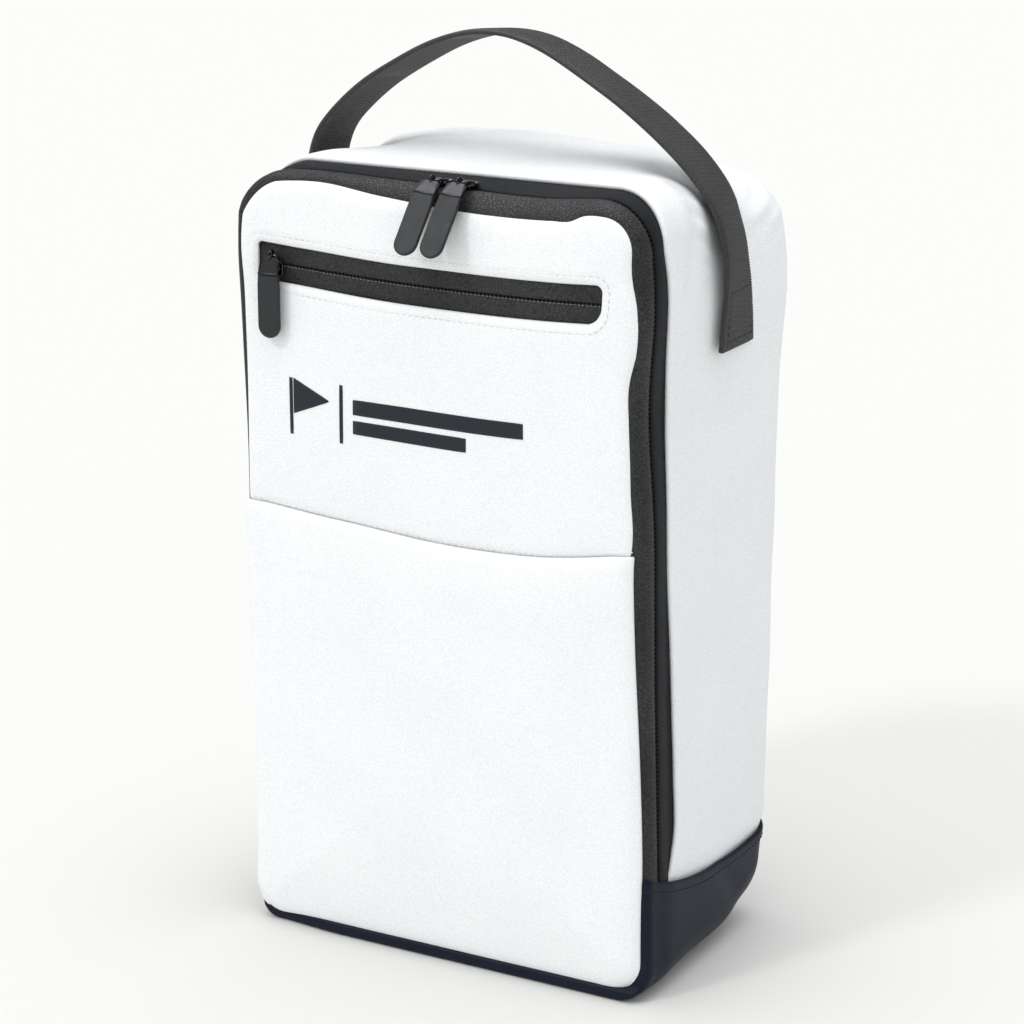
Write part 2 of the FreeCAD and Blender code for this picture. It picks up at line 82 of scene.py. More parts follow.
# Sizes read from the frame
HALF_WIDTH = high("gusset_panel")[0]
CROWN = high("gusset_panel")[2]
BACK = high("back_panel")[1]
FRONT = low("front_panel_lower")[1]
GUSSET_FRONT = low("gusset_panel")[1]
BACK_SEAM = high("gusset_panel")[1]
SEAM = low("front_panel_upper")[2]
PANEL_TOP = high("front_panel_upper")[2]
FOOT_LOW = low("front_panel_foot")[2]
CHAIN_Y = (high("lid_zip_tape")[1] + low("shell_zip_tape")[1]) / 2
CHAIN_Z = high("shell_zip_tape")[2]
POCKET_CHAIN = (high("pocket_tape_lower")[2] + low("pocket_tape_upper")[2]) / 2
POCKET_TAPE_Y = low("pocket_tape_upper")[1]
WINDOW_LEFT = low("pocket_tape_upper")[0] + 1.0
WINDOW_RIGHT = high("pocket_tape_upper")[0] + 4.5
WINDOW_LOW = low("pocket_tape_lower")[2]
WINDOW_HIGH = high("pocket_tape_upper")[2]
STRAP_Y = (low("carry_handle")[1] + high("carry_handle")[1]) / 2
STRAP_HALF = (high("carry_handle")[1] - low("carry_handle")[1]) / 2
STRAP_END = low("handle_end_right")[2]
STRAP_PIVOT = joint_point("handle_swing")[2]

# Sizes of the soft shape: where the sides start to lean in, half the crown's width, the base's
# half width, how far the front's top leans to -X, and where the back's rounded edge starts
LEAN_FROM = 300
CROWN_HALF = 100.4
BOOT_HALF = HALF_WIDTH + 0.9
LEAN = 4.5
BACK_TURN = BACK - 14


# ---------------- small maths

def smooth(start, end, value):
    """0 before start, 1 after end, eased between."""
    part = np.clip((np.asarray(value, float) - start) / (end - start), 0, 1)
    return part * part * (3 - 2 * part)


def bump(middle, width, value):
    return np.exp(-(((np.asarray(value, float) - middle) / width) ** 2))


def curve(*points):
    """A smooth curve through (place, height) points, as a function."""
    places, heights = np.array(points, float).T
    slopes = np.gradient(heights, places)

    def height(value):
        value = np.clip(np.asarray(value, float), places[0], places[-1])
        k = np.clip(np.searchsorted(places, value) - 1, 0, len(places) - 2)
        gap = places[k + 1] - places[k]
        t = (value - places[k]) / gap
        keep = (1 + 2 * t) * (1 - t) ** 2 * heights[k] + t * (1 - t) ** 2 * gap * slopes[k]
        return keep + t * t * (3 - 2 * t) * heights[k + 1] + t * t * (t - 1) * gap * slopes[k + 1]

    return height


def unit(vectors):
    """Vectors scaled to length 1."""
    return vectors / np.maximum(np.linalg.norm(vectors, axis=-1, keepdims=True), 1e-9)


rng = np.random.default_rng(11)
WAVES = [
    (rng.normal(size=3) * 0.062, rng.uniform(0, 2 * math.pi, 3), rng.uniform(0.5, 1.0))
    for _ in range(7)
]


def waves(points, reach):
    """A slow, repeatable wobble of points; reach is its size."""
    out = np.zeros_like(points)
    for direction, phase, size in WAVES:
        turn = points @ direction
        for axis in range(3):
            out[:, axis] += size * np.sin(turn + phase[axis])
    return out * reach / len(WAVES)


def forward(y):
    """1 at the front and 0 at the back."""
    return np.clip((60 - y) / 120, 0, 1)


def settle(points):
    """Moves points laid out on the plain outline to where the soft bag has settled."""
    p = np.array(points, float).reshape(-1, 3)
    x, y, z = p[:, 0].copy(), p[:, 1].copy(), p[:, 2].copy()
    front = forward(y)
    side = np.sign(x)
    right = smooth(60, 92, x)
    top = smooth(325, 352, z)
    corner = smooth(296, 342, z) * smooth(55, 88, np.abs(x))
    p[:, 0] -= LEAN * smooth(0, 200, z) * front
    p[:, 0] -= 4.2 * bump(268, 40, z) * right * front
    p[:, 2] -= 5.0 * smooth(50, 95, np.abs(x)) * smooth(15, 55, y) * top
    # the strap presses a groove over each shoulder and the back of the shoulder stays full
    shoulder = bump(318, 44, z) * smooth(-38, 38, y) * smooth(50, 95, x)
    p[:, 0] += 3.4 * shoulder
    p[:, 2] += 1.5 * shoulder
    groove = bump(STRAP_Y + 3, 19, y) * corner
    p[:, 0] -= side * (3.2 + 2.4 * smooth(316, 336, z)) * groove
    p[:, 2] -= 5.6 * groove
    # small tucks gather beside the strap
    tuck = np.sin(z * 0.62 + y * 0.21) * bump(STRAP_Y - 22, 5, y)
    tuck += np.sin(z * 0.48 - y * 0.33) * bump(STRAP_Y + 29, 9, y) * 0.8
    p[:, 0] += side * 0.7 * tuck * corner
    p[:, 2] += 0.5 * tuck * corner
    fold = bump(0, 5, (y + 19) - (z - 330) * 0.35) * corner
    p[:, 0] -= side * 1.0 * fold
    p[:, 2] -= 1.0 * fold
    p[:, 0] += 2.0 * smooth(20, 55, y) * smooth(28, 54, z) * right
    full = bump(42, 34, y) * smooth(40, 240, z)
    p[:, 0] += side * 2.4 * full * smooth(50, 90, np.abs(x))
    p[:, 2] += 3.6 * top * bump(-28, 52, x) * smooth(-20, 50, y)
    p[:, 2] -= 2.0 * top * smooth(35, 80, x) * smooth(-20, 40, y)
    free = smooth(15, 90, z) * smooth(-50, -20, y)
    p += waves(np.stack([x, y, z], 1), 1.1) * free[:, None]
    return p.reshape(np.shape(points))


# ---------------- mesh helpers

def add_piece(name, verts, faces, material, uvs=None):
    """A smooth mesh object from millimetres; uvs holds one (u, v) per vertex."""
    mesh = bpy.data.meshes.new(name)
    mesh.from_pydata((np.asarray(verts) * MM).tolist(), [], [tuple(map(int, f)) for f in faces])
    mesh.validate()
    mesh.shade_smooth()
    if uvs is not None:
        layer = mesh.uv_layers.new(name="UVMap")
        index = np.zeros(len(mesh.loops), int)
        mesh.loops.foreach_get("vertex_index", index)
        layer.data.foreach_set("uv", np.asarray(uvs * MM, np.float32)[index].ravel())
    obj = bpy.data.objects.new(name, mesh)
    bpy.context.scene.collection.objects.link(obj)
    mesh.materials.append(material)
    return obj


def tidy_normals(obj):
    """Makes every face of a closed mesh look outward."""
    work = bmesh.new()
    work.from_mesh(obj.data)
    bmesh.ops.recalc_face_normals(work, faces=work.faces)
    work.to_mesh(obj.data)
    work.free()
    return obj


def grid_normals(grid, cyclic):
    """Unit normals of a rows x columns grid of points."""
    across = np.gradient(grid, axis=1)
    if cyclic:
        across = np.roll(grid, -1, 1) - np.roll(grid, 1, 1)
    return unit(np.cross(np.gradient(grid, axis=0), across))


def strips(index, cyclic):
    """The four-sided faces between neighbouring rows and columns of a grid of vertex numbers."""
    if cyclic:
        index = np.concatenate([index, index[:, :1]], axis=1)
    corners = index[:-1, :-1], index[:-1, 1:], index[1:, 1:], index[1:, :-1]
    return np.stack(corners, -1).reshape(-1, 4).tolist()


def lengths(grid, axis):
    """Running length along one axis of a grid, for the weave's coordinates."""
    total = np.cumsum(np.linalg.norm(np.diff(grid, axis=axis), axis=2), axis=axis)
    return np.insert(total, 0, 0, axis=axis)


def sheet(name, grid, thickness, material, cyclic=False, flip=False, cap=False):
    """A closed solid of a given thickness behind a grid of outer points, with rounded rims.

    The outer face looks along the grid's normal (flip turns it round). cap closes the last
    row of a cyclic grid over its middle.
    """
    rows, columns = grid.shape[:2]
    count = rows * columns
    normal = grid_normals(grid, cyclic) * (-1 if flip else 1)
    outer = grid.reshape(-1, 3)
    inner = (grid - normal * thickness).reshape(-1, 3)
    uv = np.stack([lengths(grid, 1), lengths(grid, 0)], 2).reshape(-1, 2)
    index = np.arange(count).reshape(rows, columns)
    verts, uvs = [outer, inner], [uv, uv]
    faces = strips(index, cyclic) + strips(index + count, cyclic)
    near = index[np.clip(range(rows), 1, rows - 2)]
    if cyclic:
        rims = [(index[k], near[k]) for k in ((0,) if cap else (0, -1))]
    else:
        near = near[:, np.clip(range(columns), 1, columns - 2)]
        rims = [
            [np.concatenate([i[0], i[1:, -1], i[-1, -2::-1], i[-2:0:-1, 0]]) for i in (index, near)]
        ]
    for edge, inside_edge in rims:
        first = sum(map(len, verts))
        out = unit(outer[edge] - outer[inside_edge])
        verts.append((outer[edge] + inner[edge]) / 2 + out * thickness * 0.42)
        uvs.append(uv[edge])
        half_round = np.stack([edge, first + np.arange(len(edge)), count + edge])
        faces += strips(half_round, True)
    if cap:
        middle = sum(map(len, verts))
        centre = grid[-1].mean(0)
        verts.append(np.array([centre, centre - normal[-1].mean(0) * thickness]))
        uvs.append(np.zeros((2, 2)))
        for a, b in zip(index[-1], np.roll(index[-1], -1)):
            faces += [(a, b, middle), (count + b, count + a, middle + 1)]
    return tidy_normals(add_piece(name, np.concatenate(verts), faces, material, np.concatenate(uvs)))


def tube_parts(path, radius, sides=6, closed=False, flat=1.0):
    """Vertices and faces of a round tube along a path."""
    path = np.asarray(path, float)
    along = np.roll(path, -1, 0) - np.roll(path, 1, 0) if closed else np.gradient(path, axis=0)
    along = unit(along)
    up = np.zeros_like(path)
    guide = np.array([0.31, 0.22, 0.92])
    for k, direction in enumerate(along):
        guide = unit(guide - direction * (guide @ direction))
        up[k] = guide
    side = np.cross(along, up)
    angles = np.arange(sides)[:, None] * 2 * math.pi / sides
    reach = up[:, None] * np.cos(angles) + side[:, None] * np.sin(angles) * flat
    verts = (path[:, None] + reach * radius).reshape(-1, 3)
    index = np.arange(len(verts)).reshape(-1, sides)
    if closed:
        return verts, strips(np.concatenate([index, index[:1]]), True)
    faces = strips(index, True)
    first = len(verts)
    ends = path[0] - along[0] * radius * 0.7, path[-1] + along[-1] * radius * 0.7
    verts = np.concatenate([verts, ends])
    for m in range(sides):
        n = (m + 1) % sides
        faces += [(n, m, first), (index[-1, m], index[-1, n], first + 1)]
    return verts, faces


def joined(parts):
    """Several (verts, faces) as one."""
    verts, faces, first = [], [], 0
    for some_verts, some_faces in parts:
        verts.append(some_verts)
        faces += [tuple(i + first for i in face) for face in some_faces]
        first += len(some_verts)
    return np.concatenate(verts), faces


def resampled(path, step):
    """Evenly spaced points along a path."""
    run = np.concatenate([[0], np.cumsum(np.linalg.norm(np.diff(path, axis=0), axis=1))])
    count = max(int(run[-1] / step), 2)
    places = (np.arange(count) + 0.5) * run[-1] / count
    return np.stack([np.interp(places, run, path[:, a]) for a in range(3)], 1)


def stitches(name, paths, material, step=3.1, size=2.1, radius=0.26):
    """Short sewn threads along each path, each dipping into the material at both ends."""
    parts = []
    for path, outward in paths:
        middles = resampled(path, step)
        along = unit(np.gradient(middles, axis=0))
        outward = np.broadcast_to(np.asarray(outward, float), middles.shape)
        for middle, direction, out in zip(middles, along, outward):
            ends = np.array([-0.5, -0.36, 0.0, 0.36, 0.5])
            dips = np.array([-1.1, 0.1, 0.55, 0.1, -1.1]) * radius
            points = middle + direction * (ends * size)[:, None] + out * dips[:, None]
            parts.append(tube_parts(points, radius, sides=5))
    return add_piece(name, *joined(parts), material)


# ---------------- the bag's outline

SIDE, CORNER, TOP = 84, 18, 76


def arc(x, z, radius, start, count):
    """A quarter circle round (x, z), anticlockwise from start degrees."""
    turn = np.radians(np.linspace(start, start + 90, count))
    return np.stack([x + radius * np.cos(turn), z + radius * np.sin(turn)], 1)


def arch(half_foot, half_crown, crown, radius, foot):
    """An upside-down U in X and Z, left foot to right foot, with matching point counts."""
    side_end = crown - radius
    heights = np.linspace(foot, side_end, SIDE)
    part = np.clip((heights - LEAN_FROM) / (side_end - LEAN_FROM), 0, 1)
    widths = half_foot - (half_foot - half_crown) * part ** 1.5
    angles = np.linspace(0, math.pi / 2, CORNER + 2)[1:-1]
    corner_x = half_crown - radius + radius * np.cos(angles)
    corner_z = side_end + radius * np.sin(angles)
    top_x = np.linspace(half_crown - radius, 0, TOP // 2 + 1)
    top_z = np.full(len(top_x), crown)
    x = np.concatenate([widths, corner_x, top_x])
    z = np.concatenate([heights, corner_z, top_z])
    return np.stack([np.concatenate([-x, x[-2::-1]]), np.concatenate([z, z[-2::-1]])], 1)


def ring(y, inset, foot, crown=None, radius=24, half_crown=None, half_foot=None):
    """One outline of the body at a depth y, moved inward by inset."""
    crown = CROWN - inset if crown is None else crown
    half_foot = HALF_WIDTH - inset if half_foot is None else half_foot
    half_crown = CROWN_HALF - inset if half_crown is None else half_crown
    flat = arch(half_foot, half_crown, crown, max(radius - inset, 6), foot)
    return np.stack([flat[:, 0], np.full(len(flat), y), flat[:, 1]], 1)


def hem_height(y):
    """The top edge of the dark base, high at the front and low towards the back."""
    y = np.asarray(y, float)
    rise = np.clip((20 - y) / 80, 0, 1)
    back = np.clip((y - 20) / 40, 0, 1)
    return 43.2 + 14.6 * rise ** 2.1 + 4.6 * back ** 2.5


# ---------------- materials

def put(node, key, value):
    """Plugs a socket into a node's input, or sets its plain value or a setting of the node."""
    if isinstance(key, str):
        key = key.replace("_", " ") if key[0].isupper() else key
        if key not in node.inputs:
            setattr(node, key, value)
            return
    if isinstance(value, bpy.types.NodeSocket):
        node.id_data.links.new(value, node.inputs[key])
    else:
        node.inputs[key].default_value = value


def add(tree, kind, *plugs, **settings):
    """A shader node with its inputs filled in order, then by name."""
    node = tree.nodes.new("ShaderNode" + kind)
    for key, value in [*enumerate(plugs), *settings.items()]:
        put(node, key, value)
    return node


def new_material(name):
    """A material, its node tree, its surface shader and the places its patterns follow."""
    material = bpy.data.materials.new(name)
    material.use_nodes = True
    tree = material.node_tree
    return material, tree, tree.nodes["Principled BSDF"], add(tree, "TexCoord").outputs


def noise(tree, place, scale, detail, rough=0.5):
    return add(tree, "TexNoise", place, Scale=scale, Detail=detail, Roughness=rough).outputs["Fac"]


def ramp(tree, value, *stops):
    """A value turned to a colour or a grey through (place, colour) stops."""
    node = add(tree, "ValToRGB", value)
    elements = node.color_ramp.elements
    while len(elements) < len(stops):
        elements.new(0.5)
    for element, (place, tone) in zip(elements, stops):
        element.position = place
        element.color = (tone, tone, tone, 1) if np.isscalar(tone) else (*tone, 1)
    return node.outputs["Color"]


def multiplied(tree, share, one, other):
    return add(tree, "MixRGB", share, one, other, blend_type="MULTIPLY").outputs["Color"]


def finished(material, surface, heights, **settings):
    """Sets the surface up, with bumps of (height, strength, distance) from coarse to fine."""
    for height, strength, distance in heights:
        node = add(surface.id_data, "Bump", Strength=strength, Distance=distance, Height=height)
        if "Normal" in settings:
            put(node, "Normal", settings["Normal"])
        settings["Normal"] = node.outputs["Normal"]
    for key, value in settings.items():
        put(surface, key, value)
    return material


def leather(name, base, shade, grain=900.0, depth=0.3, rough=(0.42, 0.6), shine=0.4, crease_shade_level=0.9):
    """Coated fabric: pebbles with fine pores, slow colour drift, and the crevices between the pebbles
    coloured darker as painted shade.
    """
    material, tree, surface, places = new_material(name)
    place = places["Object"]
    stir = add(tree, "TexNoise", place, Scale=grain * 0.55, Detail=2.0).outputs["Color"]
    shift = add(tree, "VectorMath", stir, (0.9 / grain,) * 3, place, operation="MULTIPLY_ADD")
    pebble = add(tree, "TexVoronoi", shift.outputs[0], Scale=grain, feature="DISTANCE_TO_EDGE")
    pebble = pebble.outputs["Distance"]
    pores = noise(tree, place, grain * 3.1, 3.0, 0.6)
    drift = noise(tree, place, 22.0, 4.0, 0.55)
    tone = ramp(tree, drift, (0.3, shade), (0.7, base))
    # painted shade: the crevices between the pebbles are coloured darker, by the given level at their
    # bottoms
    crease_shade_mask = ramp(tree, pebble, (0.0, crease_shade_level), (0.18, 1.0))
    domes = ramp(tree, pebble, (0.0, 0.0), (0.12, 0.55), (0.45, 1.0))
    heights = (drift, 0.12, 0.0012), (domes, depth, 0.00022), (pores, depth * 0.5, 0.00008)
    return finished(
        material, surface, heights,
        Base_Color=multiplied(tree, 0.8, tone, crease_shade_mask),
        Roughness=ramp(tree, pores, (0.25, rough[0]), (0.75, rough[1])),
        Specular_IOR_Level=shine,
    )


def woven(
    name, dark, light, ribs, cross, depth=0.6, fleck=1500.0, contrast=(0.36, 0.66),
    sheen=0.3, gloss=0.15,
):
    """Woven tape or cloth: ribs and cross threads per metre from the sheet's own coordinates."""
    material, tree, surface, places = new_material(name)
    bands = []
    for direction, count in (("X", ribs), ("Y", cross)):
        wave = add(
            tree, "TexWave", places["UV"], bands_direction=direction,
            Scale=count / 6.283, Distortion=0.35, Detail_Scale=900.0,
        )
        bands.append(wave.outputs["Fac"])
    weave = add(tree, "Math", *bands, operation="MULTIPLY").outputs[0]
    fuzz = noise(tree, places["Object"], fleck, 3.0, 0.65)
    # the raised ribs and fine flecks are coloured lighter than the threads round them: the weave's own
    # pattern, with painted highlights on it
    mix = add(tree, "Math", weave, 0.22, fuzz, operation="MULTIPLY_ADD").outputs[0]
    tone = ramp(tree, mix, (contrast[0], dark), (contrast[1], light))
    drift = ramp(tree, noise(tree, places["Object"], 35.0, 2.0), (0.3, 0.8), (0.7, 1.1))
    return finished(
        material, surface, [(weave, depth, 0.0004), (fuzz, depth, 0.0004)],
        Base_Color=multiplied(tree, 1.0, tone, drift),
        Roughness=0.85 - 0.3 * gloss, Specular_IOR_Level=gloss,
        Sheen_Weight=sheen, Sheen_Roughness=0.5,
    )


def moulded(name, base, rough=(0.35, 0.5), metallic=0.0, depth=0.08):
    """Painted metal or moulded rubber: fine speckle, uneven gloss and rubbed edges."""
    material, tree, surface, places = new_material(name)
    place = places["Object"]
    speckle = noise(tree, place, 2200.0, 4.0, 0.6)
    worn = ramp(tree, add(tree, "NewGeometry").outputs["Pointiness"], (0.5, 0.0), (0.62, 1.0))
    share = add(tree, "Math", worn, speckle, operation="MULTIPLY").outputs[0]
    rubbed = [min(c * 1.8 + 0.01, 1.0) for c in base]
    return finished(
        material, surface, [(speckle, depth, 0.0001)],
        Base_Color=add(tree, "MixRGB", share, (*base, 1), (*rubbed, 1)).outputs["Color"],
        Roughness=ramp(tree, noise(tree, place, 180.0, 3.0), (0.3, rough[0]), (0.7, rough[1])),
        Metallic=metallic, Specular_IOR_Level=0.3,
    )


WHITE = leather(
    "white_coated_fabric", (0.862, 0.872, 0.882), (0.842, 0.854, 0.868),
    grain=640.0, depth=0.36, rough=(0.5, 0.66), shine=0.05,
)
BOOT = leather(
    "dark_coated_fabric", (0.010, 0.013, 0.026), (0.007, 0.009, 0.019),
    grain=1500.0, depth=0.2, rough=(0.36, 0.5), shine=0.12,
)
# painted shade: the tape's crevices between the pebbles are coloured almost black
TAPE = leather(
    "zip_tape_grain", (0.038, 0.038, 0.039), (0.019, 0.019, 0.020),
    grain=640.0, depth=1.0, rough=(0.42, 0.65), shine=0.35, crease_shade_level=0.05,
)
REAR_TAPE = leather(
    "zip_tape_smooth", (0.020, 0.021, 0.024), (0.011, 0.012, 0.015),
    grain=1200.0, depth=0.6, rough=(0.5, 0.7), shine=0.15, crease_shade_level=0.5,
)
# painted highlights: the webbing's ribs are coloured far lighter than the black between them
WEBBING = woven(
    "webbing_weave", 0.003, 0.060, 620.0, 800.0, 0.7, 1500.0, (0.36, 0.84), sheen=0.0, gloss=0.7,
)
LINING = woven("lining_weave", 0.030, 0.075, 1900.0, 1900.0, depth=0.4, fleck=900.0)
BINDING = woven("binding_weave", 0.008, 0.03, 1600.0, 900.0, depth=0.5)
SATIN = moulded("satin_black_metal", (0.030, 0.030, 0.032), rough=(0.32, 0.42), metallic=0.8)
METAL = moulded(
    "gloss_black_metal", (0.05, 0.05, 0.053), rough=(0.10, 0.2), metallic=1.0, depth=0.02,
)
RUBBER = moulded("charcoal_moulding", (0.020, 0.021, 0.023), rough=(0.42, 0.55), depth=0.15)
COIL = moulded("nylon_coil", (0.004, 0.004, 0.005), rough=(0.3, 0.45))
WHITE_THREAD = woven("white_thread", 0.72, 0.86, 3000.0, 3000.0, depth=0.3, sheen=0.0)
DARK_THREAD = woven("dark_thread", 0.012, 0.035, 3000.0, 3000.0, depth=0.3, sheen=0.0)
GREY_THREAD = woven("grey_thread", 0.20, 0.36, 3000.0, 3000.0, depth=0.3, sheen=0.0)
PRINT = moulded("print_ink", (0.012, 0.015, 0.022), rough=(0.4, 0.5), depth=0.2)
BOARD = moulded("board_plastic", (0.05, 0.05, 0.055), rough=(0.45, 0.6), depth=0.3)

# ---------------- shared lines and surfaces

PANEL_EDGE = 99.4
FOOT = FOOT_LOW - 0.5
BASE_FRONT = -61.2
PANEL_FACE = 60.0
STRAP_GAP = 1.0

# How the seams, the chain and the edges wander: (place across or up, offset or half width)
panel_lift = curve(
    (-100, -2), (-82, 1.6), (-60, 3.2), (-28, -0.3), (26, -4), (56, -3.6), (65, -3.0), (71, -0.4),
    (84, 0.2), (100, 0),
)
chain_lift = curve(
    (-100, 0), (-59, 1.2), (-25, 0.3), (0, -0.3), (26, -1.3), (52, -1.3), (74, 0.4), (100, 0),
)
window_sag = curve((-100, 3), (-60, 1), (-20, -1.1), (20, -1.7), (60, -1.3), (78, -0.6), (100, 0))
seam_sag = curve((-100, 3), (-50, 0), (0, -3), (50, -2.4), (100, 4.6))
gusset_edge = curve(
    (40, -4.5), (58, 0.2), (72, 4.6), (95, 4.8), (123, 4), (156, 2.2), (206, -0.6), (240, 1),
    (270, 1.8), (300, 0), (320, -0.5), (338, -3.2), (362, 0),
)
panel_right = curve(
    (0, 96.8), (44, 97.2), (61, 97.8), (94, 97.9), (128, 97.3), (161, 96.2), (178, 95.8),
    (195, 95.7), (211, 97.0), (228, 96.9), (244, 97.6), (262, 97.8), (278, 97.5), (295, 99.3),
    (312, 98.0), (328, 94.8), (340, 94.8), (350, 95.2),
)
panel_left = curve(
    (0, 103.2), (12, 103.2), (30, 102.3), (60, 100.9), (150, 99.6), (195, 99.5), (280, 99.3),
    (300, 99.8), (318, 100.9), (332, 100.0), (350, 98.4),
)


def warp(x, z):
    """Heights on the front after the seams and the opening have sagged."""
    top = smooth(322, PANEL_TOP, z)
    middle = smooth(270, 302, z) * (1 - smooth(324, 342, z))
    seam = bump(SEAM, 45, z)
    return z + panel_lift(x) * top + window_sag(x) * middle + seam_sag(x) * seam


def inside(x, z, left, right, bottom, top, radius):
    """Distance in from a rounded rectangle's edge; negative outside it."""
    across = np.abs(x - (left + right) / 2) - (right - left) / 2 + radius
    upright = np.abs(z - (bottom + top) / 2) - (top - bottom) / 2 + radius
    corner = np.hypot(np.maximum(across, 0), np.maximum(upright, 0))
    return radius - corner - np.minimum(np.maximum(across, upright), 0)


def front_face(x, z):
    """The padded front's Y at a plain place: rolled edges, a swell, and grooves at its seams."""
    edge = np.maximum(inside(x, z, -panel_left(z), panel_right(z), FOOT, PANEL_TOP, 15), 0)
    window = -inside(x, z, WINDOW_LEFT, WINDOW_RIGHT, WINDOW_LOW, WINDOW_HIGH, 4)
    roll = 2.7 * (1 - np.exp(-edge / 2.4))
    lower = 1 - smooth(SEAM - 25, SEAM + 12, z)
    swell = (2.6 + 2.0 * lower) * (1 - np.exp(-((edge / 34) ** 1.5)))
    belly = 0.9 * bump(100, 70, z) * (1 - (x / PANEL_EDGE) ** 2)
    groove = 1.5 * bump(SEAM, 2.0, z) + 0.8 * bump(SEAM, 9, z)
    groove *= 0.12 + 0.88 * smooth(0, 11, edge)
    dip = 0.9 * bump(0, 1.6, np.maximum(window, 0)) + 0.28 * bump(3.5, 0.9, window)
    ripple = np.sin(x * 0.071 + z * 0.03 + 1) * np.sin(z * 0.053 - x * 0.024)
    ripple = ripple * 0.55 * (1 - np.exp(-edge / 18))
    return -(PANEL_FACE + roll + swell + belly) + groove + dip + ripple


def on_front(x, z, lift=0.0):
    """Settled points on the front surface, lift above it."""
    x, z = np.asarray(x, float), np.asarray(z, float)
    y = front_face(x, z) - lift
    return settle(np.stack([x, y, warp(x, z)], -1))


def eased(count, share=0.35):
    """Places from 0 to 1, closer together at both ends."""
    t = np.linspace(0, 1, count)
    return (1 - share) * t + share * (1 - np.cos(math.pi * t)) / 2


def band_grid(rows, foot):
    """Settled rings for the zip's band; rows hold (y, half width, crown, radius, front, chain)."""
    grid = []
    for y, half, crown, radius, front, chain in rows:
        points = ring(y, 0, foot, crown, radius, half - 2.6, half)
        beside_front = smooth(-54, -58.5, y)
        out = beside_front * smooth(222, 300, points[:, 2])
        high_up = out * (1.9 + 3.0 * bump(340, 17, points[:, 2]))
        wider = np.maximum(panel_left(points[:, 2]) - PANEL_EDGE, 0)
        points[:, 0] -= (points[:, 0] < -80) * (high_up + beside_front * wider)
        top = smooth(322, 349, points[:, 2])
        lift = front * panel_lift(points[:, 0]) + chain * chain_lift(points[:, 0])
        points[:, 2] += lift * top
        grid.append(points)
    return settle(np.array(grid))


def label(piece, slot, *nodes):
    """Hides the CAD nodes that a piece stands for, if any; its finish is not used."""
    if nodes:
        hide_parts(*nodes)


def ride(piece, body, slot, *nodes):
    """Labels a piece and puts it on a body."""
    label(piece, slot, *nodes)
    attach(piece, body)


def across_fold(piece):
    """A piece of cloth across where the front opens, with its placement moved into its mesh."""
    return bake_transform(piece)


# ---------------- walls and linings

def back_edge(inset, last, count):
    """Depth and inset of the walls' rings round their rounded back edge, to last degrees."""
    return [
        (BACK_TURN + 13 * math.sin(angle), inset + 13 * (1 - math.cos(angle)))
        for angle in np.radians(np.linspace(6, last, count))
    ]


def build_gusset():
    """The white strip over both sides and the top, from the zip to the back seam."""
    front = [(0, 1.3), (0.35, 0.6), (1.1, 0.15), (2.4, 0.0), (4.2, 0.12), (6.0, 0.0)]
    rows = [(GUSSET_FRONT + step, inset) for step, inset in front]
    rows += [(y, 0.0) for y in np.linspace(GUSSET_FRONT + 8, BACK_TURN, 40)]
    rows += back_edge(0.0, 52, 9)
    grid = np.array([ring(y, inset, hem_height(y) - 5) for y, inset in rows])
    foot = hem_height(grid[..., 1])
    tuck = 1 - smooth(0, 7, grid[..., 2] - foot)
    grid[..., 0] -= np.sign(grid[..., 0]) * 1.6 * tuck
    fade = 1 - smooth(GUSSET_FRONT, 5, grid[..., 1])
    grid[..., 1] += gusset_edge(grid[..., 2]) * fade
    piece = sheet("gusset_skin", settle(grid), 2.0, WHITE, flip=True)
    ride(piece, "shell", "white_coated_fabric", "gusset_panel")


def upright_grid(half, half_crown, crown, radius, foot, columns=90):
    """Plain x and z over a wall with rounded top corners, and the distance in from its edge."""
    side_end = crown - radius
    heights = list(np.linspace(foot, side_end, 110))
    heights += [side_end + radius * math.sin(a) for a in np.linspace(0, math.pi / 2, 20)[1:]]
    share = 2 * eased(columns, 0.5) - 1
    x, z = [], []
    for height in heights:
        part = np.clip((height - LEAN_FROM) / (side_end - LEAN_FROM), 0, 1)
        reach = half - (half - half_crown) * part ** 1.5
        if height > side_end:
            rise = height - side_end
            reach = half_crown - radius + math.sqrt(max(radius ** 2 - rise ** 2, 0))
        x.append(share * reach)
        z.append(np.full(columns, height))
    x, z = np.array(x), np.array(z)
    depth = inside(x, z, -half, half, -radius, crown, radius)
    return x, z, np.maximum(depth, 0)


def build_back():
    """The white back, its edge rolled into the seam with the side strip."""
    inset = 4.9
    sizes = HALF_WIDTH - inset, CROWN_HALF - inset, CROWN - inset
    x, z, depth = upright_grid(*sizes, 19, 40)
    roll = 4.0 * (1 - np.exp(-depth / 3.4))
    swell = 1.8 * (1 - np.exp(-((depth / 40) ** 1.5)))
    ripple = 0.35 * np.sin(x * 0.066 + z * 0.021) * np.sin(z * 0.048 - x * 0.019)
    y = BACK - 4.6 + roll + swell + ripple
    y -= 3.4 * (1 - smooth(45, 54, z))
    piece = sheet("back_skin", settle(np.stack([x, y, z], -1)), 2.0, WHITE)
    ride(piece, "shell", "white_coated_fabric", "back_panel")


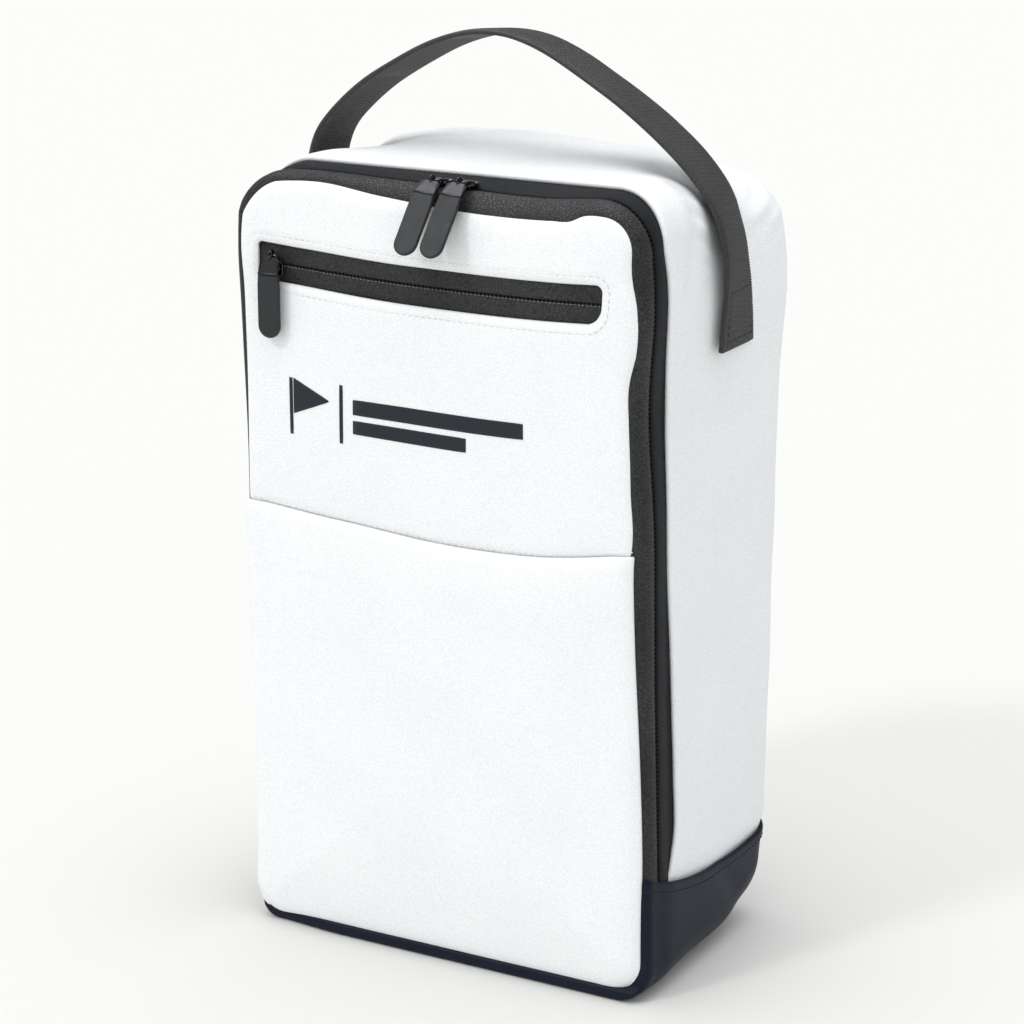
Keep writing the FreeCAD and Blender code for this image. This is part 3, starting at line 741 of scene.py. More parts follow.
def build_linings():
    """The dark lining seen when the front is open, and the bound seam inside the back."""
    rows = [(y, 6.4) for y in np.linspace(-46, BACK_TURN, 24)] + back_edge(6.4, 34, 6)
    grid = settle(np.array([ring(y, inset, 25, None, 20) for y, inset in rows]))
    ride(sheet("gusset_lining_cloth", grid, 0.8, LINING, flip=True), "shell", "lining", "gusset_lining")
    rows = [(BACK_SEAM - (5 - k), 6.9 - k * 0.25) for k in range(5)]
    grid = settle(np.array([ring(y, inset, 48, None, 20) for y, inset in rows]))
    piece = sheet("back_seam_tape", grid, 1.0, BINDING, flip=True)
    ride(piece, "shell", "binding", "back_seam_binding")
    x, z, _ = upright_grid(95, 91, 351, 18, 26, 60)
    y = np.full(x.shape, BACK - 6.2) + 0.5 * np.sin(x * 0.045) * np.sin(z * 0.037)
    piece = sheet("back_lining_cloth", settle(np.stack([x, y, z], -1)), 0.8, LINING)
    ride(piece, "shell", "lining", "back_lining")
    x, y = np.meshgrid(np.linspace(-73, 73, 70), np.linspace(-49, 40, 50))
    z = 5.7 + 0.35 * np.sin(x * 0.06 + 1) * np.sin(y * 0.075)
    ride(sheet("floor_cloth", np.stack([x, y, z], -1), 0.7, LINING), "shell", "lining", "floor_lining")


# ---------------- the dark base

def boot_point(x, y, height):
    """Moves points of the base's plan outline in by its rounded bottom edges at a height."""

    def inward(radius):
        rise = np.clip(radius - height, 0, radius)
        return radius - np.sqrt(np.maximum(radius ** 2 - rise ** 2, 0))

    near = np.where(x < 0, 10.5, 15.0)
    corner = (near + (20 - near) * smooth(-58, -10, y))
    corner = corner + 14 * smooth(20, 62, y)
    new_x = x * (BOOT_HALF - inward(corner)) / BOOT_HALF
    slim = np.where(x < 0, 0.028 - 0.024 * (1 - smooth(10, 24, height)), 0.016)
    new_x = new_x * (1 - slim * smooth(-40, -58, y))
    deep = np.clip((y - FRONT) / (BACK - FRONT), 0, 1)
    new_y = y - inward(30) * deep ** 1.8 + inward(2.5) * (1 - deep) ** 6
    rim = (1 - smooth(5, 7.5, height)) * (deep < 0.03)
    reach = 3.4 * (1 - 0.7 * smooth(60, 99, -x))
    return new_x, new_y - reach * rim


def plan_outline(half, front, back, front_radius, back_radius):
    """The base seen from above, starting at the front's middle and going round by the right."""
    middle = np.array([[0, front]])
    ends = [
        middle,
        arc(half - front_radius, front + front_radius, front_radius, -90, 14),
        arc(half - back_radius, back - back_radius, back_radius, 0, 16),
        arc(-half + back_radius, back - back_radius, back_radius, 90, 16),
        arc(-half + front_radius, front + front_radius, front_radius, 180, 14),
        middle,
    ]
    path = []
    for k, count in enumerate((44, 60, 80, 60, 44)):
        a, b = ends[k][-1], ends[k + 1][0]
        t = np.linspace(0, 1, count, endpoint=False)[:, None]
        path.append(a + (b - a) * t)
        if k < 4:
            path.append(ends[k + 1][:-1])
    return np.concatenate(path)


def boot_ring(share, grow=0.0, drop=0.0):
    """One level of the base: share 0 is its top edge and 1 is the ground."""
    plan = plan_outline(BOOT_HALF, BASE_FRONT, BACK - 0.8, 4.6, 16)
    x, y = plan[:, 0], plan[:, 1]
    top = hem_height(y) - drop
    front = smooth(BASE_FRONT + 0.5, BASE_FRONT + 0.1, y)
    top = top * (1 - front) + (50 - drop) * front
    z = top * (1 - share)
    x, y = boot_point(x, y, z)
    out = unit(np.stack([x / HALF_WIDTH * 0.55, y / BACK * 0.8], 1)) * grow
    crease = bump(0, 9, (y - 28) + (z - 20) * 0.9) * smooth(60, 95, np.abs(x))
    x = x - np.sign(x) * crease * 0.6
    return np.stack([x + out[:, 0], y + out[:, 1], z], 1)


def build_base():
    """The dark moulded-looking base: walls, rounded bottom edges and the underside."""
    shares = 1 - np.concatenate([np.linspace(1, 0.22, 30), 0.22 * (1 - eased(16, 0)[1:]) ** 1.6])
    rows = [boot_ring(share, drop=0.6) for share in shares]
    for pull in (0.97, 0.9, 0.75, 0.5, 0.25):
        last = rows[len(shares) - 1].copy()
        last[:, 0] *= pull
        last[:, 1] = last[:, 1] * pull - 12 * (1 - pull)
        last[:, 2] = 0.0
        rows.append(last)
    grid = settle(np.array(rows))
    grid[..., 2] = np.maximum(grid[..., 2], 0)
    piece = sheet("base_shell", grid, 1.8, BOOT, cyclic=True, cap=True)
    ride(piece, "shell", "dark_coated_fabric", "base_wrap")


def build_board():
    """The stiff board under the floor, with rounded corners, inside the base."""
    half, deep = high("base_board")[0] - 14, high("base_board")[1] - 10
    points = rounded([(x, y, 12) for x, y in crossed(half, deep)])
    plate = slab_parts(points, low("base_board")[2], high("base_board")[2], 0.6)
    ride(add_piece("base_board_plate", *plate, BOARD), "shell", "stiffener", "base_board")


def hem_path(drop, grow):
    """A line round the base's sides and back, drop below its top edge."""
    line = boot_ring(0.0, grow, drop)
    keep = boot_ring(0.0)[:, 1] > BASE_FRONT + 0.3
    start = int(np.argmax(keep))
    stop = len(keep) - int(np.argmax(keep[::-1]))
    return settle(line[start:stop])


def build_hem():
    """The turned-over band along the base's top edge, with its row of stitches."""
    profile = [
        (0.9, -1.9), (0.1, -1.5), (-0.35, -0.6), (0.0, 0.35), (0.9, 0.6), (2.4, 0.65),
        (3.9, 0.6), (4.7, 0.4), (5.2, 0.05), (5.7, -0.1), (6.4, -0.5),
    ]
    grid = np.array([hem_path(drop, grow) for drop, grow in profile])
    ride(sheet("base_hem_band", grid, 0.7, BOOT), "shell", "dark_coated_fabric", "base_hem")
    path = hem_path(4.3, 0.5)
    outward = unit(resampled(path, 3.1) * [1, 1.4, 0])
    ride(stitches("base_hem_stitches", [(path, outward)], DARK_THREAD), "shell", "binding")


# ---------------- the padded front

def build_front_lower():
    """The tall white panel from the ground to the cross seam."""
    radius = 13
    rows = list(FOOT + radius * (1 - np.cos(np.linspace(0, math.pi / 2, 14)[:-1])))
    rows += list(np.linspace(FOOT + radius, SEAM - 6, 78))
    rows += [SEAM - k for k in (4.6, 3.4, 2.4, 1.6, 0.9, 0.3)]
    share = eased(120, 0.55)

    def inset(height, radius):
        rise = max(radius - (height - FOOT), 0)
        return radius - math.sqrt(radius ** 2 - rise ** 2)

    x, z = [], []
    for height in rows:
        left = inset(height, 11) - panel_left(height)
        right = panel_right(height) - inset(height, radius)
        x.append(left + (right - left) * share)
        z.append(np.full(len(share), height))
    x, z = np.array(x), np.array(z)
    piece = sheet("front_lower_panel", on_front(x, z), 1.7, WHITE)
    label(piece, "white_coated_fabric", "front_panel_lower", "front_panel_foot")
    across_fold(piece)


def loop(left, right, bottom, top, radii):
    """A rounded rectangle with fixed counts, from its lower left corner round by the right."""
    arcs = [
        arc(left + radii[0], bottom + radii[0], radii[0], 180, 14),
        arc(right - radii[1], bottom + radii[1], radii[1], 270, 14),
        arc(right - radii[2], top - radii[2], radii[2], 0, 14),
        arc(left + radii[3], top - radii[3], radii[3], 90, 14),
    ]
    path = []
    for k, count in enumerate((110, 40, 110, 40)):
        path.append(arcs[k])
        a, b = arcs[k][-1], arcs[(k + 1) % 4][0]
        path.append(a + (b - a) * np.linspace(0, 1, count + 2)[1:-1, None])
    return np.concatenate(path)


def window_loop(grow):
    radii = np.array([4, 7, 4, 3]) + grow
    left, right = WINDOW_LEFT - grow, WINDOW_RIGHT + grow
    return loop(left, right, WINDOW_LOW - grow, WINDOW_HIGH + grow, radii)


def build_front_upper():
    """The white panel above the seam, with the opening for the pocket's zip."""
    radii = np.array([0.4, 0.4, 14.5, 20])
    outer = loop(-PANEL_EDGE, PANEL_EDGE, SEAM + 0.2, PANEL_TOP, radii)
    x, z = outer.T
    outer[:, 0] = x - (PANEL_EDGE - panel_right(z)) * smooth(40, PANEL_EDGE, x)
    x = outer[:, 0].copy()
    outer[:, 0] = x - (panel_left(z) - PANEL_EDGE) * smooth(40, PANEL_EDGE, -x)
    near = np.array([0, 0.5, 1.1, 1.9, 2.8, 3.5, 4.2, 5.4])
    rows = [window_loop(step) for step in near]
    share = eased(34, 0.6)[1:, None, None]
    rows += list(rows[-1] + (outer - rows[-1]) * share)
    grid = np.array(rows)
    points = on_front(grid[..., 0], grid[..., 1])
    piece = sheet("front_upper_panel", points, 1.7, WHITE, cyclic=True)
    ride(piece, "lid", "white_coated_fabric", "front_panel_upper")


def build_front_stitches():
    """White thread round the pocket opening and along the cross seam."""
    line = window_loop(3.5)
    line = np.roll(line, -int(np.argmin(line[:, 0])), axis=0)
    line = line[line[:, 0] > WINDOW_LEFT + 1]
    piece = stitches("pocket_stitches", [(on_front(line[:, 0], line[:, 1]), (0, -1, 0))], WHITE_THREAD)
    ride(piece, "lid", "white_coated_fabric")
    x = np.linspace(-97, 97, 220)
    path = on_front(x, np.full(len(x), SEAM + 1.9), 0.0)
    ride(stitches("seam_stitches", [(path, (0, -1, 0.3))], WHITE_THREAD), "lid", "white_coated_fabric")


def patch(left, right, bottom, top, taper=0.0):
    """A small field of plain places; taper pulls its right end to a point."""
    u, v = np.meshgrid(np.linspace(0, 1, 26), np.linspace(0, 1, 10))
    x = left + (right - left) * u
    middle = bottom + (top - bottom) / 2
    z = middle + (bottom + (top - bottom) * v - middle) * (1 - taper * u)
    return x, z


def build_emblem():
    """A generic print: a pennant on a pole, a divider and plain bars."""
    left, bottom = low("front_emblem")[0] + 2, low("front_emblem")[2]
    right, top = high("front_emblem")[0], high("front_emblem")[2]
    tall = top - bottom
    line = 1.5
    fields = [
        patch(left, left + line, bottom, top),
        patch(left + 2.2, left + 21, top - tall * 0.62, top, 0.97),
        patch(left + 27, left + 27 + line, bottom, top),
        patch(left + 34, right + 6, bottom + tall * 0.53, bottom + tall * 0.78),
        patch(left + 34, right - 22, bottom + tall * 0.20, bottom + tall * 0.42),
    ]
    parts = [
        sheet(f"print_{k}", on_front(x, z, 0.32), 0.5, PRINT, flip=True)
        for k, (x, z) in enumerate(fields)
    ]
    ride(merged("front_print", parts), "lid", "print", "front_emblem")


def merged(name, parts):
    """One new mesh object from several, which are removed."""
    verts, faces, first = [], [], 0
    for part in parts:
        mesh = part.data
        verts += [v.co / MM for v in mesh.vertices]
        faces += [tuple(i + first for i in p.vertices) for p in mesh.polygons]
        first += len(mesh.vertices)
    material = parts[0].data.materials[0]
    for part in parts:
        bpy.data.objects.remove(part)
    return add_piece(name, verts, faces, material)


def build_lid_inside():
    """Foam, pocket bag and lining behind the front's upper part."""
    spots = (
        ("lid_padding", BOARD, "foam", "lid_foam", -57.0, 2.2, 92, 63, 343),
        ("pocket_pouch", LINING, "lining", "pocket_bag", -55.9, 0.8, 85, 200, 324),
        ("lid_lining_cloth", LINING, "lining", "lid_lining", -54.4, 0.7, 93, 62, 344),
    )
    for name, material, slot, node, depth, thick, half, bottom, top in spots:
        x, z, edge = upright_grid(half, half, top, 12, bottom, 60)
        y = np.full(x.shape, depth) + 0.25 * np.sin(x * 0.052) * np.sin(z * 0.041)
        y -= 1.2 * np.exp(-edge / 3)
        grid = settle(np.stack([x, y, z], -1))
        ride(sheet(name, grid, thick, material), "lid", slot, node)


# ---------------- the main zip

def build_zip_tapes():
    """Both halves of the wide woven band that carries the main zip's chain."""
    foot = 46
    rear = [
        (-49.9, 101.5, 354.3, 22.5, 0, 1), (-49.7, 102.0, 354.9, 23, 0, 1),
        (-49.0, 102.3, 355.4, 23, 0, 1), (-47.8, 102.4, 355.9, 23, 0, 0.9),
        (-45, 102.2, 356.7, 23, 0, 0.6), (-42, 101.7, 357.2, 23, 0, 0.3),
        (-39, 101.0, 357.4, 22.5, 0, 0), (-36, 100.7, 357.4, 22, 0, 0),
        (-32, 100.6, 357.4, 22, 0, 0),
    ]
    front = [
        (-52.1, 101.5, 354.3, 22.5, 0, 1), (-52.3, 102.0, 354.8, 23, 0, 1),
        (-53.0, 102.25, 355.0, 23, 0, 1), (-54.2, 102.3, 354.9, 22, 0.1, 0.9),
        (-56, 102.0, 354.3, 21, 0.4, 0.6), (-57.8, 101.3, 353.2, 20, 0.7, 0.3),
        (-59.2, 100.2, 351.8, 18.5, 0.9, 0.1), (-60.1, 98.8, 350.2, 17, 1, 0),
        (-60.4, 97.0, 348.4, 15, 1, 0), (-60.4, 94, 345.5, 13, 1, 0),
    ]
    piece = sheet("rear_zip_tape", band_grid(rear, foot), 0.8, REAR_TAPE, flip=True)
    ride(piece, "shell", "zip_tape", "shell_zip_tape")
    piece = sheet("front_zip_tape", band_grid(front, foot), 0.8, TAPE)
    label(piece, "zip_tape", "lid_zip_tape", "zip_end_left", "zip_end_right")
    across_fold(piece)


def chain_line(y, half, crown, foot):
    """One settled line along the main chain."""
    row = (y, half, crown, 22.5, 0, 1)
    return band_grid([row, row], foot)[0]


def teeth(line, side, pitch=2.0):
    """Small rounded coil turns along a chain line, each reaching sideways over the slit."""
    reach = np.array([0, side, 0])
    parts = []
    for middle in resampled(line, pitch):
        drop = unit(-np.array([middle[0] / 100, 0, middle[2] > 335]))
        path = [
            middle + reach * 1.4 + drop * 0.35,
            middle + reach * 0.8,
            middle - reach * 0.1 - drop * 0.05,
            middle - reach * 0.35 + drop * 0.4,
        ]
        parts.append(tube_parts(path, 0.36, sides=6))
    return joined(parts)


def build_zip_coils():
    """The two coils, meshed in the slit between the tapes, over a thin near-black strip that is painted
    shade in the slit.
    """
    spots = (
        ("rear_zip_coil", 1.0, (-51.0, -50.2, -49.2), 48, "shell", "shell_zip_coil"),
        ("front_zip_coil", -1.0, (-51.05, -51.9, -52.8), 64, "lid", "lid_zip_coil"),
    )
    for name, side, strip, foot, body, node in spots:
        line = chain_line(-51.0, 101.5, 354.2, foot)
        dots = add_piece(f"{name}_turns", *teeth(line, side), COIL)
        # painted shade: a near-black strip under the coils darkens the slit between the tapes
        rows = [chain_line(y, 101.2, 353.9, foot) for y in strip]
        back = sheet(f"{name}_slit_shade", np.array(rows), 0.3, COIL, flip=side > 0)
        ride(merged(name, [dots, back]), body, "zip_coil", node)


# ---------------- the pocket zip

def pocket_row(x, height, back):
    """A line of the pocket's zip, held just behind the front's surface."""
    z = np.full(len(x), POCKET_CHAIN + height)
    face = front_face(x, np.full(len(x), WINDOW_LOW - 6))
    y = np.maximum(face + 2.3, POCKET_TAPE_Y - 0.3)
    sag = window_sag(x) * 0.75
    return settle(np.stack([x, y + back, z + sag], 1))


def build_pocket_zip():
    """Both halves of the pocket's zip, their coils and the sewing thread along the chain."""
    x = np.linspace(WINDOW_LEFT - 3, WINDOW_RIGHT + 3, 180)
    upper = [
        (0.35, 1.0), (0.5, 0.25), (1.2, 0.0), (3, -0.1), (5.5, -0.05), (8, 0.15), (10.5, 0.5),
        (12, 0.6),
    ]
    for name, sign, nodes in (("upper", 1, "pocket_tape_upper"), ("lower", -1, "pocket_tape_lower")):
        grid = np.array([pocket_row(x, sign * h, b) for h, b in upper])
        ride(sheet(f"pocket_zip_tape_{name}", grid, 0.7, TAPE, flip=sign > 0), "lid", "zip_tape", nodes)
        line = pocket_row(x, sign * 0.05, 0.45)
        turn = np.array([(0, 0.5, 1.2), (0, 0, 0.5), (0, 0, -0.2), (0, 0.5, -0.4)]) * [1, 1, sign]
        verts, faces = joined([tube_parts(spot + turn, 0.4) for spot in resampled(line, 1.9)])
        piece = add_piece(f"pocket_zip_coil_{name}", verts, faces, COIL)
        ride(piece, "lid", "zip_coil", f"pocket_coil_{name}")
    line = pocket_row(x[14:-4], -0.75, -0.05)
    piece = stitches("pocket_chain_thread", [(line, (0, -1, 0))], GREY_THREAD, 1.9, 0.8, 0.14)
    ride(piece, "lid", "zip_tape")


# ---------------- sliders and pullers

def rounded(corners, steps=6):
    """A closed outline from (x, y, radius) corners, each drawn in some steps."""
    points = []
    count = len(corners)
    for k, (x, y, radius) in enumerate(corners):
        here = np.array([x, y], float)
        before = unit(np.array(corners[k - 1][:2], float) - here)
        after = unit(np.array(corners[(k + 1) % count][:2], float) - here)
        half = math.acos(np.clip(before @ after, -1, 1)) / 2
        if radius <= 0 or half > 1.55:
            points.append(here)
            continue
        reach = radius / math.tan(half)
        middle = here + unit(before + after) * radius / math.sin(half)
        start, end = here + before * reach - middle, here + after * reach - middle
        first = math.atan2(start[1], start[0])
        turn = (math.atan2(end[1], end[0]) - first + math.pi) % (2 * math.pi) - math.pi
        for t in np.linspace(0, 1, steps):
            a = first + turn * t
            points.append(middle + radius * np.array([math.cos(a), math.sin(a)]))
    return np.array(points)


def crossed(x, y):
    """The four corners of a centred rectangle of half sizes x and y, anticlockwise."""
    return (-x, -y), (x, -y), (x, y), (-x, y)


def slab_parts(points, bottom, top, bevel):
    """A plate with rounded rims over an anticlockwise outline."""
    along = np.roll(points, -1, 0) - np.roll(points, 1, 0)
    normal = unit(np.stack([along[:, 1], -along[:, 0]], 1))
    angles = np.radians([0, 22, 45, 67, 90])
    levels = [(bevel * (1 - math.sin(a)), bottom + bevel * (1 - math.cos(a))) for a in angles]
    levels += [(bevel * (1 - math.cos(a)), top - bevel * (1 - math.sin(a))) for a in angles]
    n = len(points)
    verts = [np.column_stack([points - normal * inset, np.full(n, z)]) for inset, z in levels]
    index = np.arange(len(levels) * n).reshape(-1, n)
    faces = strips(index, True) + [index[0, ::-1].tolist(), index[-1].tolist()]
    return np.concatenate(verts), faces


def place_parts(name, parts, turn, origin, material):
    """One piece from parts, turned and moved into place; large end faces stay flat."""
    verts, faces = joined(parts)
    piece = add_piece(name, verts @ turn.T + origin, faces, material)
    for face in piece.data.polygons:
        face.use_smooth = len(face.vertices) < 7
    return tidy_normals(piece)


def slider_parts(facing):
    """A slider's two plates, its post and the crown on its top plate; facing is 1 or -1 along the
    chain.
    """
    nose = rounded([
        (-5, -3.7, 1.4), (2.2, -4, 2.2), (5, -2.2, 1.2), (5, 2.2, 1.2), (2.2, 4, 2.2), (-5, 3.7, 1.4),
    ])[::facing] * [facing, 1]
    post = rounded([(x + 0.3, y, 0.6) for x, y in crossed(1.3, 0.7)])
    crown = rounded([(x, y, 1.2) for x, y in crossed(3.9, 1.3)])
    return [
        slab_parts(nose, 0.5, 1.9, 0.55), slab_parts(nose, -4.2, -2.9, 0.5),
        slab_parts(post, -3.2, 0.8, 0.1), slab_parts(crown, 1.5, 2.5, 0.45),
    ]


def bail_parts(side):
    """The glossy loop lying on the slider; its bar is beyond the plate on the given side."""
    turn = np.radians(np.linspace(180, 270, 8))
    corner = np.stack([-1.2 + 1.6 * np.cos(turn), -4.0 + 1.6 * np.sin(turn)], 1)
    root = np.array([[-2.3, -0.2, 1.2], [-2.6, -0.9, 2.2], [-2.8, -2.2, 2.5]])
    bend = np.column_stack([corner, np.full(8, 2.5)])
    half = np.concatenate([root, bend, [[-0.5, -5.6, 2.5]]])
    path = np.concatenate([half, half[::-1] * [-1, 1, 1]]) * [1, -side, 1]
    return [tube_parts(path, 0.68, sides=14)]


def bent(verts, knee, slope):
    """Bends a flat arm that runs towards -Y so that it leaves the eye at a slope."""
    run = np.linspace(0, 60, 1201)
    angle = slope * (1 - smooth(knee - 2.4, knee + 1.6, run))
    path_y = -np.concatenate([[0], np.cumsum(np.cos(angle[:-1]))]) * 0.05
    path_z = np.concatenate([[0], np.cumsum(np.sin(angle[:-1]))]) * 0.05
    s = -verts[:, 1]
    turn = np.interp(s, run, angle)
    y = np.interp(s, run, path_y) + np.minimum(s, 0) * -math.cos(slope)
    z = np.interp(s, run, path_z) + np.minimum(s, 0) * math.sin(slope)
    z = z + verts[:, 2] * np.cos(turn)
    y = y + verts[:, 2] * np.sin(turn)
    return np.stack([verts[:, 0], y, z], 1)


# Where the puller bends, how steeply it leaves its eye, and how the main pullers hang
KNEE, SLOPE, HANG = 6.3, math.radians(33), math.radians(58)


def eye_parts():
    """The link's eye round the bail."""
    turn = np.radians(np.linspace(0, 360, 29)[:-1])
    path = np.stack([np.zeros(28), 1.4 * np.cos(turn), 1.4 * np.sin(turn)], 1)
    return [tube_parts(path, 0.42, sides=12, closed=True, flat=3.4)]


def neck_parts():
    """The link's neck, widening to the tab, and the bar it is moulded round."""
    neck = rounded([
        (-3.0, -1.2, 0.6), (-4.9, -3.0, 1.2), (-5.2, -8.6, 0.2),
        (5.2, -8.6, 0.2), (4.9, -3.0, 1.2), (3.0, -1.2, 0.6),
    ])
    verts, faces = slab_parts(neck, -0.7, 0.75, 0.3)
    bar = tube_parts([(-5.0, -8.6, 0.6), (0, -8.6, 0.65), (5.0, -8.6, 0.6)], 0.55, sides=10)
    return [(bent(verts, KNEE, SLOPE), faces), (bent(bar[0], KNEE, SLOPE), bar[1])]


def tab_parts():
    """The soft finger tab."""
    points = rounded([
        (-5.2, -8.75, 0.3), (-5.6, -14, 1.5), (-5.6, -37.4, 5.5),
        (5.6, -37.4, 5.5), (5.6, -14, 1.5), (5.2, -8.75, 0.3),
    ], 12)
    verts, faces = slab_parts(points, -0.95, 0.95, 0.6)
    return [(bent(verts, KNEE, SLOPE), faces)]


def build_slider_set(name, origin, turn, facing, side, hang, skew, body, puller):
    """A slider with its bail, and the link and tab that swing on it."""
    stem = f"{name}_slider"
    piece = place_parts(f"{stem}_plates", slider_parts(facing), turn, origin, METAL)
    ride(piece, body, "slider_metal", f"{stem}_body")
    piece = place_parts(f"{stem}_loop", bail_parts(side), turn, origin, METAL)
    ride(piece, body, "slider_metal", f"{stem}_bail")
    pivot = origin + turn @ np.array([0, side * 5.6, 2.5])
    hung = np.array(Matrix.Rotation(hang, 3, "X") @ Matrix.Rotation(-skew, 3, "Z"))
    ride(place_parts(f"{name}_link_eye", eye_parts(), hung, pivot, METAL), puller, "slider_metal")
    piece = place_parts(f"{name}_link", neck_parts(), hung, pivot, SATIN)
    ride(piece, puller, "slider_metal", f"{name}_puller_link")
    piece = place_parts(f"{name}_tab", tab_parts(), hung, pivot, RUBBER)
    ride(piece, puller, "puller_rubber", f"{name}_puller_tab")


def middle_x(node):
    return (low(node)[0] + high(node)[0]) / 2


def build_sliders():
    """The pocket's slider and the two main ones, the right one a little nearer than its node."""
    upright = np.array(Matrix.Rotation(math.radians(90), 3, "X"))
    for side, facing, nearer, skew in (("left", -1, 0.0, 5.0), ("right", 1, 2.8, 5.5)):
        origin = np.array([middle_x(f"main_{side}_slider_body") - nearer, CHAIN_Y, CHAIN_Z])
        bodies = f"slider_{side}", f"puller_{side}"
        angles = HANG, math.radians(skew)
        build_slider_set(f"main_{side}", origin, np.identity(3), facing, -1, *angles, *bodies)
    origin = np.array([middle_x("pocket_slider_body"), POCKET_TAPE_Y, POCKET_CHAIN])
    bodies = "pocket_slider", "pocket_puller"
    build_slider_set("pocket", origin, upright, 1, 1, math.radians(90), 0.0, *bodies)


# ---------------- the carry strap

def relaxed(values, reach=34):
    """Running values with small kinks smoothed out and both ends kept."""
    before = 2 * values[0] - values[reach:0:-1]
    after = 2 * values[-1] - values[-2:-reach - 2:-1]
    weights = np.hanning(2 * reach + 1)
    return np.convolve(np.concatenate([before, values, after]), weights / weights.sum(), "valid")


def strap_line():
    """The strap's middle line, left end to right end, and its running length."""
    feet = settle(np.array([[side * HALF_WIDTH, STRAP_Y, STRAP_END] for side in (-1, 1)]))[:, 0]
    feet += [-STRAP_GAP - 1.1, STRAP_GAP + 1.1]
    left = [
        (-107.5, 312), (-107.4, 330), (-105.5, 350), (-101, 364), (-92, 374), (-78, 386),
        (-60, 397), (-38, 408), (-17, 413.3),
    ]
    right = [
        (0, 412.6), (18, 406.5), (35.5, 397), (52.5, 387), (69.5, 375.0), (85, 361.5),
        (96.3, 347.5), (102.6, 331), (105.0, 314),
    ]
    points = np.array([(feet[0], STRAP_END)] + left + right + [(feet[1], STRAP_END)])
    run = np.concatenate([[0], np.cumsum(np.linalg.norm(np.diff(points, axis=0), axis=1))])
    x, z = (curve(*zip(run, values)) for values in points.T)
    places = np.linspace(0, run[-1], int(run[-1] / 0.42))
    return relaxed(x(places)), relaxed(z(places)), places


def build_strap():
    """Ribbed webbing sewn to both sides, tilted back a little over the top."""
    x, z, places = strap_line()
    share = np.linspace(-1, 1, 17)
    up = unit(np.stack([-np.gradient(z), np.gradient(x)], 1))
    tilt = smooth(STRAP_PIVOT, high("carry_handle")[2] - 20, z)
    twist = 3.0 * bump(335, 30, z) * (x > 0)
    rib = 0.16 * np.sin(places * 2 * math.pi / 1.25)
    grid = np.zeros((len(x), len(share), 3))
    for k, s in enumerate(share):
        edge = 0.4 * abs(s) ** 6
        lift = rib * (1 - abs(s) ** 8) + 1.1 - edge
        grid[:, k, 0] = x + up[:, 0] * lift - twist * s
        grid[:, k, 1] = STRAP_Y + s * STRAP_HALF * (1 - 0.003 * np.sin(places * 0.3))
        grid[:, k, 2] = z + up[:, 1] * lift - tilt * s * 1.5
    piece = sheet("carry_strap", grid, 2.2, WEBBING)
    label(piece, "webbing", "handle_end_left", "carry_handle", "handle_end_right")
    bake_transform(piece)
    paths = []
    for side in (0, -1):
        rows = np.array([9, 9, 60, 60, 9]) if side == 0 else -np.array([10, 10, 61, 61, 10])
        columns = [2, 14, 14, 2, 2]
        corners = grid[rows, columns]
        outward = (-1.0 if side == 0 else 1.0, 0, 0)
        fine = np.concatenate([np.linspace(a, b, 12)[:-1] for a, b in zip(corners, corners[1:])])
        paths.append((fine, outward))
    ride(stitches("strap_stitches", paths, DARK_THREAD), "shell", "webbing")


# ---------------- stage, light and camera

def build_stage():
    """A plain pale floor."""
    size = 30.0
    mesh = bpy.data.meshes.new("floor")
    mesh.from_pydata([(x, y, 0) for x, y in crossed(size, size)], [], [(0, 1, 2, 3)])
    floor = bpy.data.objects.new("floor", mesh)
    bpy.context.scene.collection.objects.link(floor)
    material, _, surface, _ = new_material("floor_paper")
    put(surface, "Base_Color", (0.68, 0.678, 0.658, 1))
    put(surface, "Roughness", 0.8)
    put(surface, "Specular_IOR_Level", 0.0)
    mesh.materials.append(material)


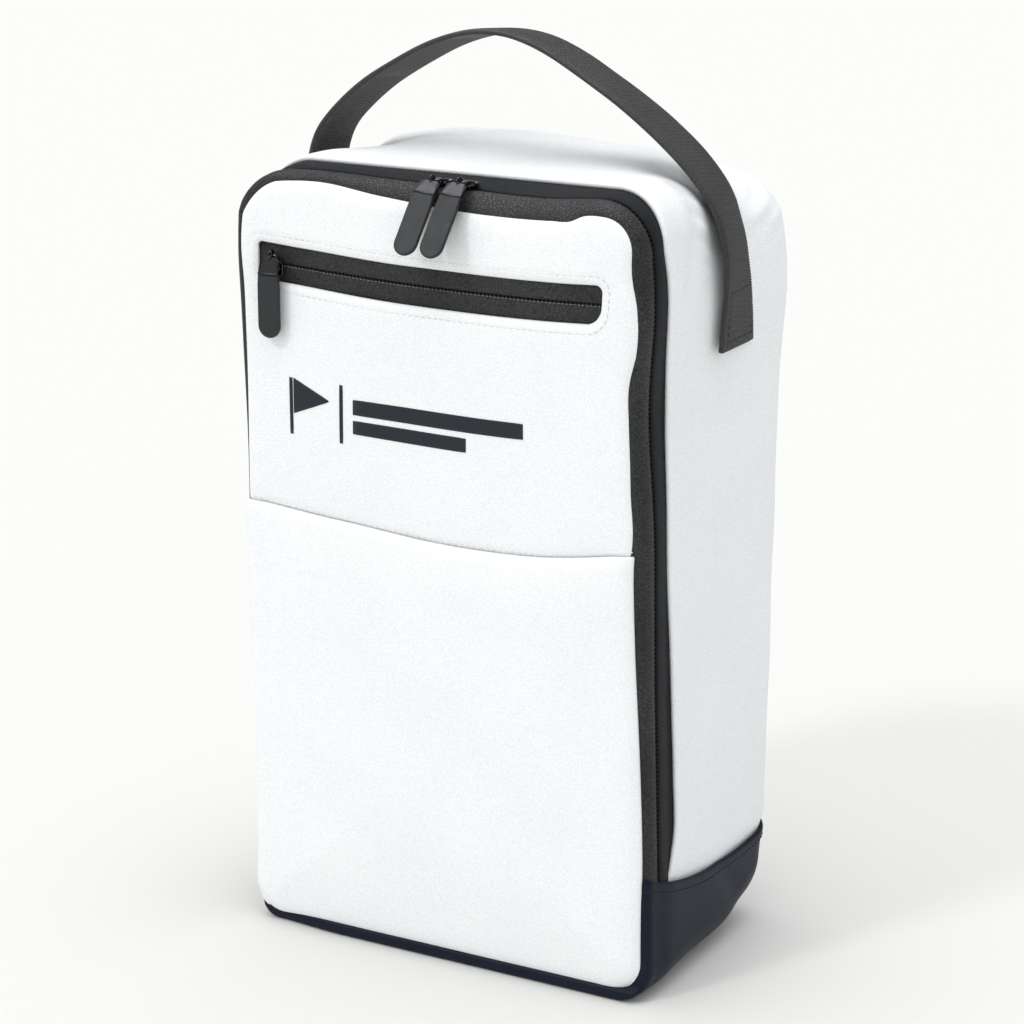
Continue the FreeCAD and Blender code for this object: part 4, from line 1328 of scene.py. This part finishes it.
def build_world():
    """A bright room, lighter over the front's left; shiny things see a dark room and one lamp."""
    world = bpy.data.worlds.new("studio")
    world.use_nodes = True
    tree = world.node_tree
    place = add(tree, "TexCoord").outputs["Generated"]

    def graded(toward, start, end, dim, bright):
        toward = Vector(toward).normalized()
        facing = add(tree, "VectorMath", place, toward, operation="DOT_PRODUCT").outputs["Value"]
        return add(tree, "MapRange", facing, start, end, dim, bright).outputs["Result"]

    room = graded((-0.4, -0.6, 0.7), -1.0, 1.0, 0.56, 1.12)
    walls = graded((-0.45, -0.35, 0.82), 0.72, 0.96, 0.24, 1.6)
    lamp = graded((-0.3, 0.1, 0.95), 0.965, 0.975, 0.0, 9.0)
    shiny = add(tree, "Math", walls, lamp, operation="MAXIMUM").outputs[0]
    ray = add(tree, "LightPath").outputs["Is Glossy Ray"]
    level = add(tree, "MapRange", ray, 0.0, 1.0, room, shiny).outputs["Result"]
    put(tree.nodes["Background"], "Color", (0.965, 0.985, 1.0, 1))
    put(tree.nodes["Background"], "Strength", level)
    bpy.context.scene.world = world


def sun(name, direction, energy, spread, colour):
    data = bpy.data.lights.new(name, "SUN")
    data.energy = energy
    data.angle = math.radians(spread)
    data.color = colour
    lamp = bpy.data.objects.new(name, data)
    lamp.rotation_euler = Vector(direction).to_track_quat("-Z", "Y").to_euler()
    bpy.context.scene.collection.objects.link(lamp)


def build_light():
    """A key from the front's left, and broad lights from above and, faintly, from behind."""
    sun("key", (0.40, 0.80, -0.85), 0.66, 9, (1.0, 0.985, 0.955))
    sun("top", (0.0, 0.0, -1.0), 0.95, 50, (1.0, 1.0, 1.0))
    sun("rim", (-0.12, -0.75, -0.66), 0.25, 50, (1.0, 1.0, 1.0))
    bpy.context.scene.view_settings.view_transform = "Standard"


def build_camera():
    """The view from the front's right, a little above."""
    yaw, pitch = math.radians(29.27), math.radians(16.04)
    back = Vector((math.sin(yaw) * math.cos(pitch), -math.cos(yaw) * math.cos(pitch), math.sin(pitch)))
    right = Vector((math.cos(yaw), math.sin(yaw), 0))
    up = back.cross(right)
    data = bpy.data.cameras.new("camera")
    data.sensor_width = 36
    data.lens = 105.47
    data.clip_end = 50
    camera = bpy.data.objects.new("camera", data)
    aim = Vector(metres(0, 0, CROWN / 2))
    away, aside, above = 1.37295, -0.00092, 0.01628
    camera.location = aim + back * away + right * aside + up * above
    camera.rotation_euler = Matrix((right, up, back)).transposed().to_euler()
    bpy.context.scene.collection.objects.link(camera)
    bpy.context.scene.camera = camera


for node in frame["nodes"].values():
    node.data.materials.clear()
    node.data.materials.append(BOARD)

for build in (
    build_gusset, build_back, build_linings, build_base, build_board, build_hem,
    build_front_lower, build_front_upper, build_front_stitches, build_emblem, build_lid_inside,
    build_zip_tapes, build_zip_coils, build_pocket_zip, build_sliders, build_strap,
    build_stage, build_world, build_light, build_camera,
):
    build()
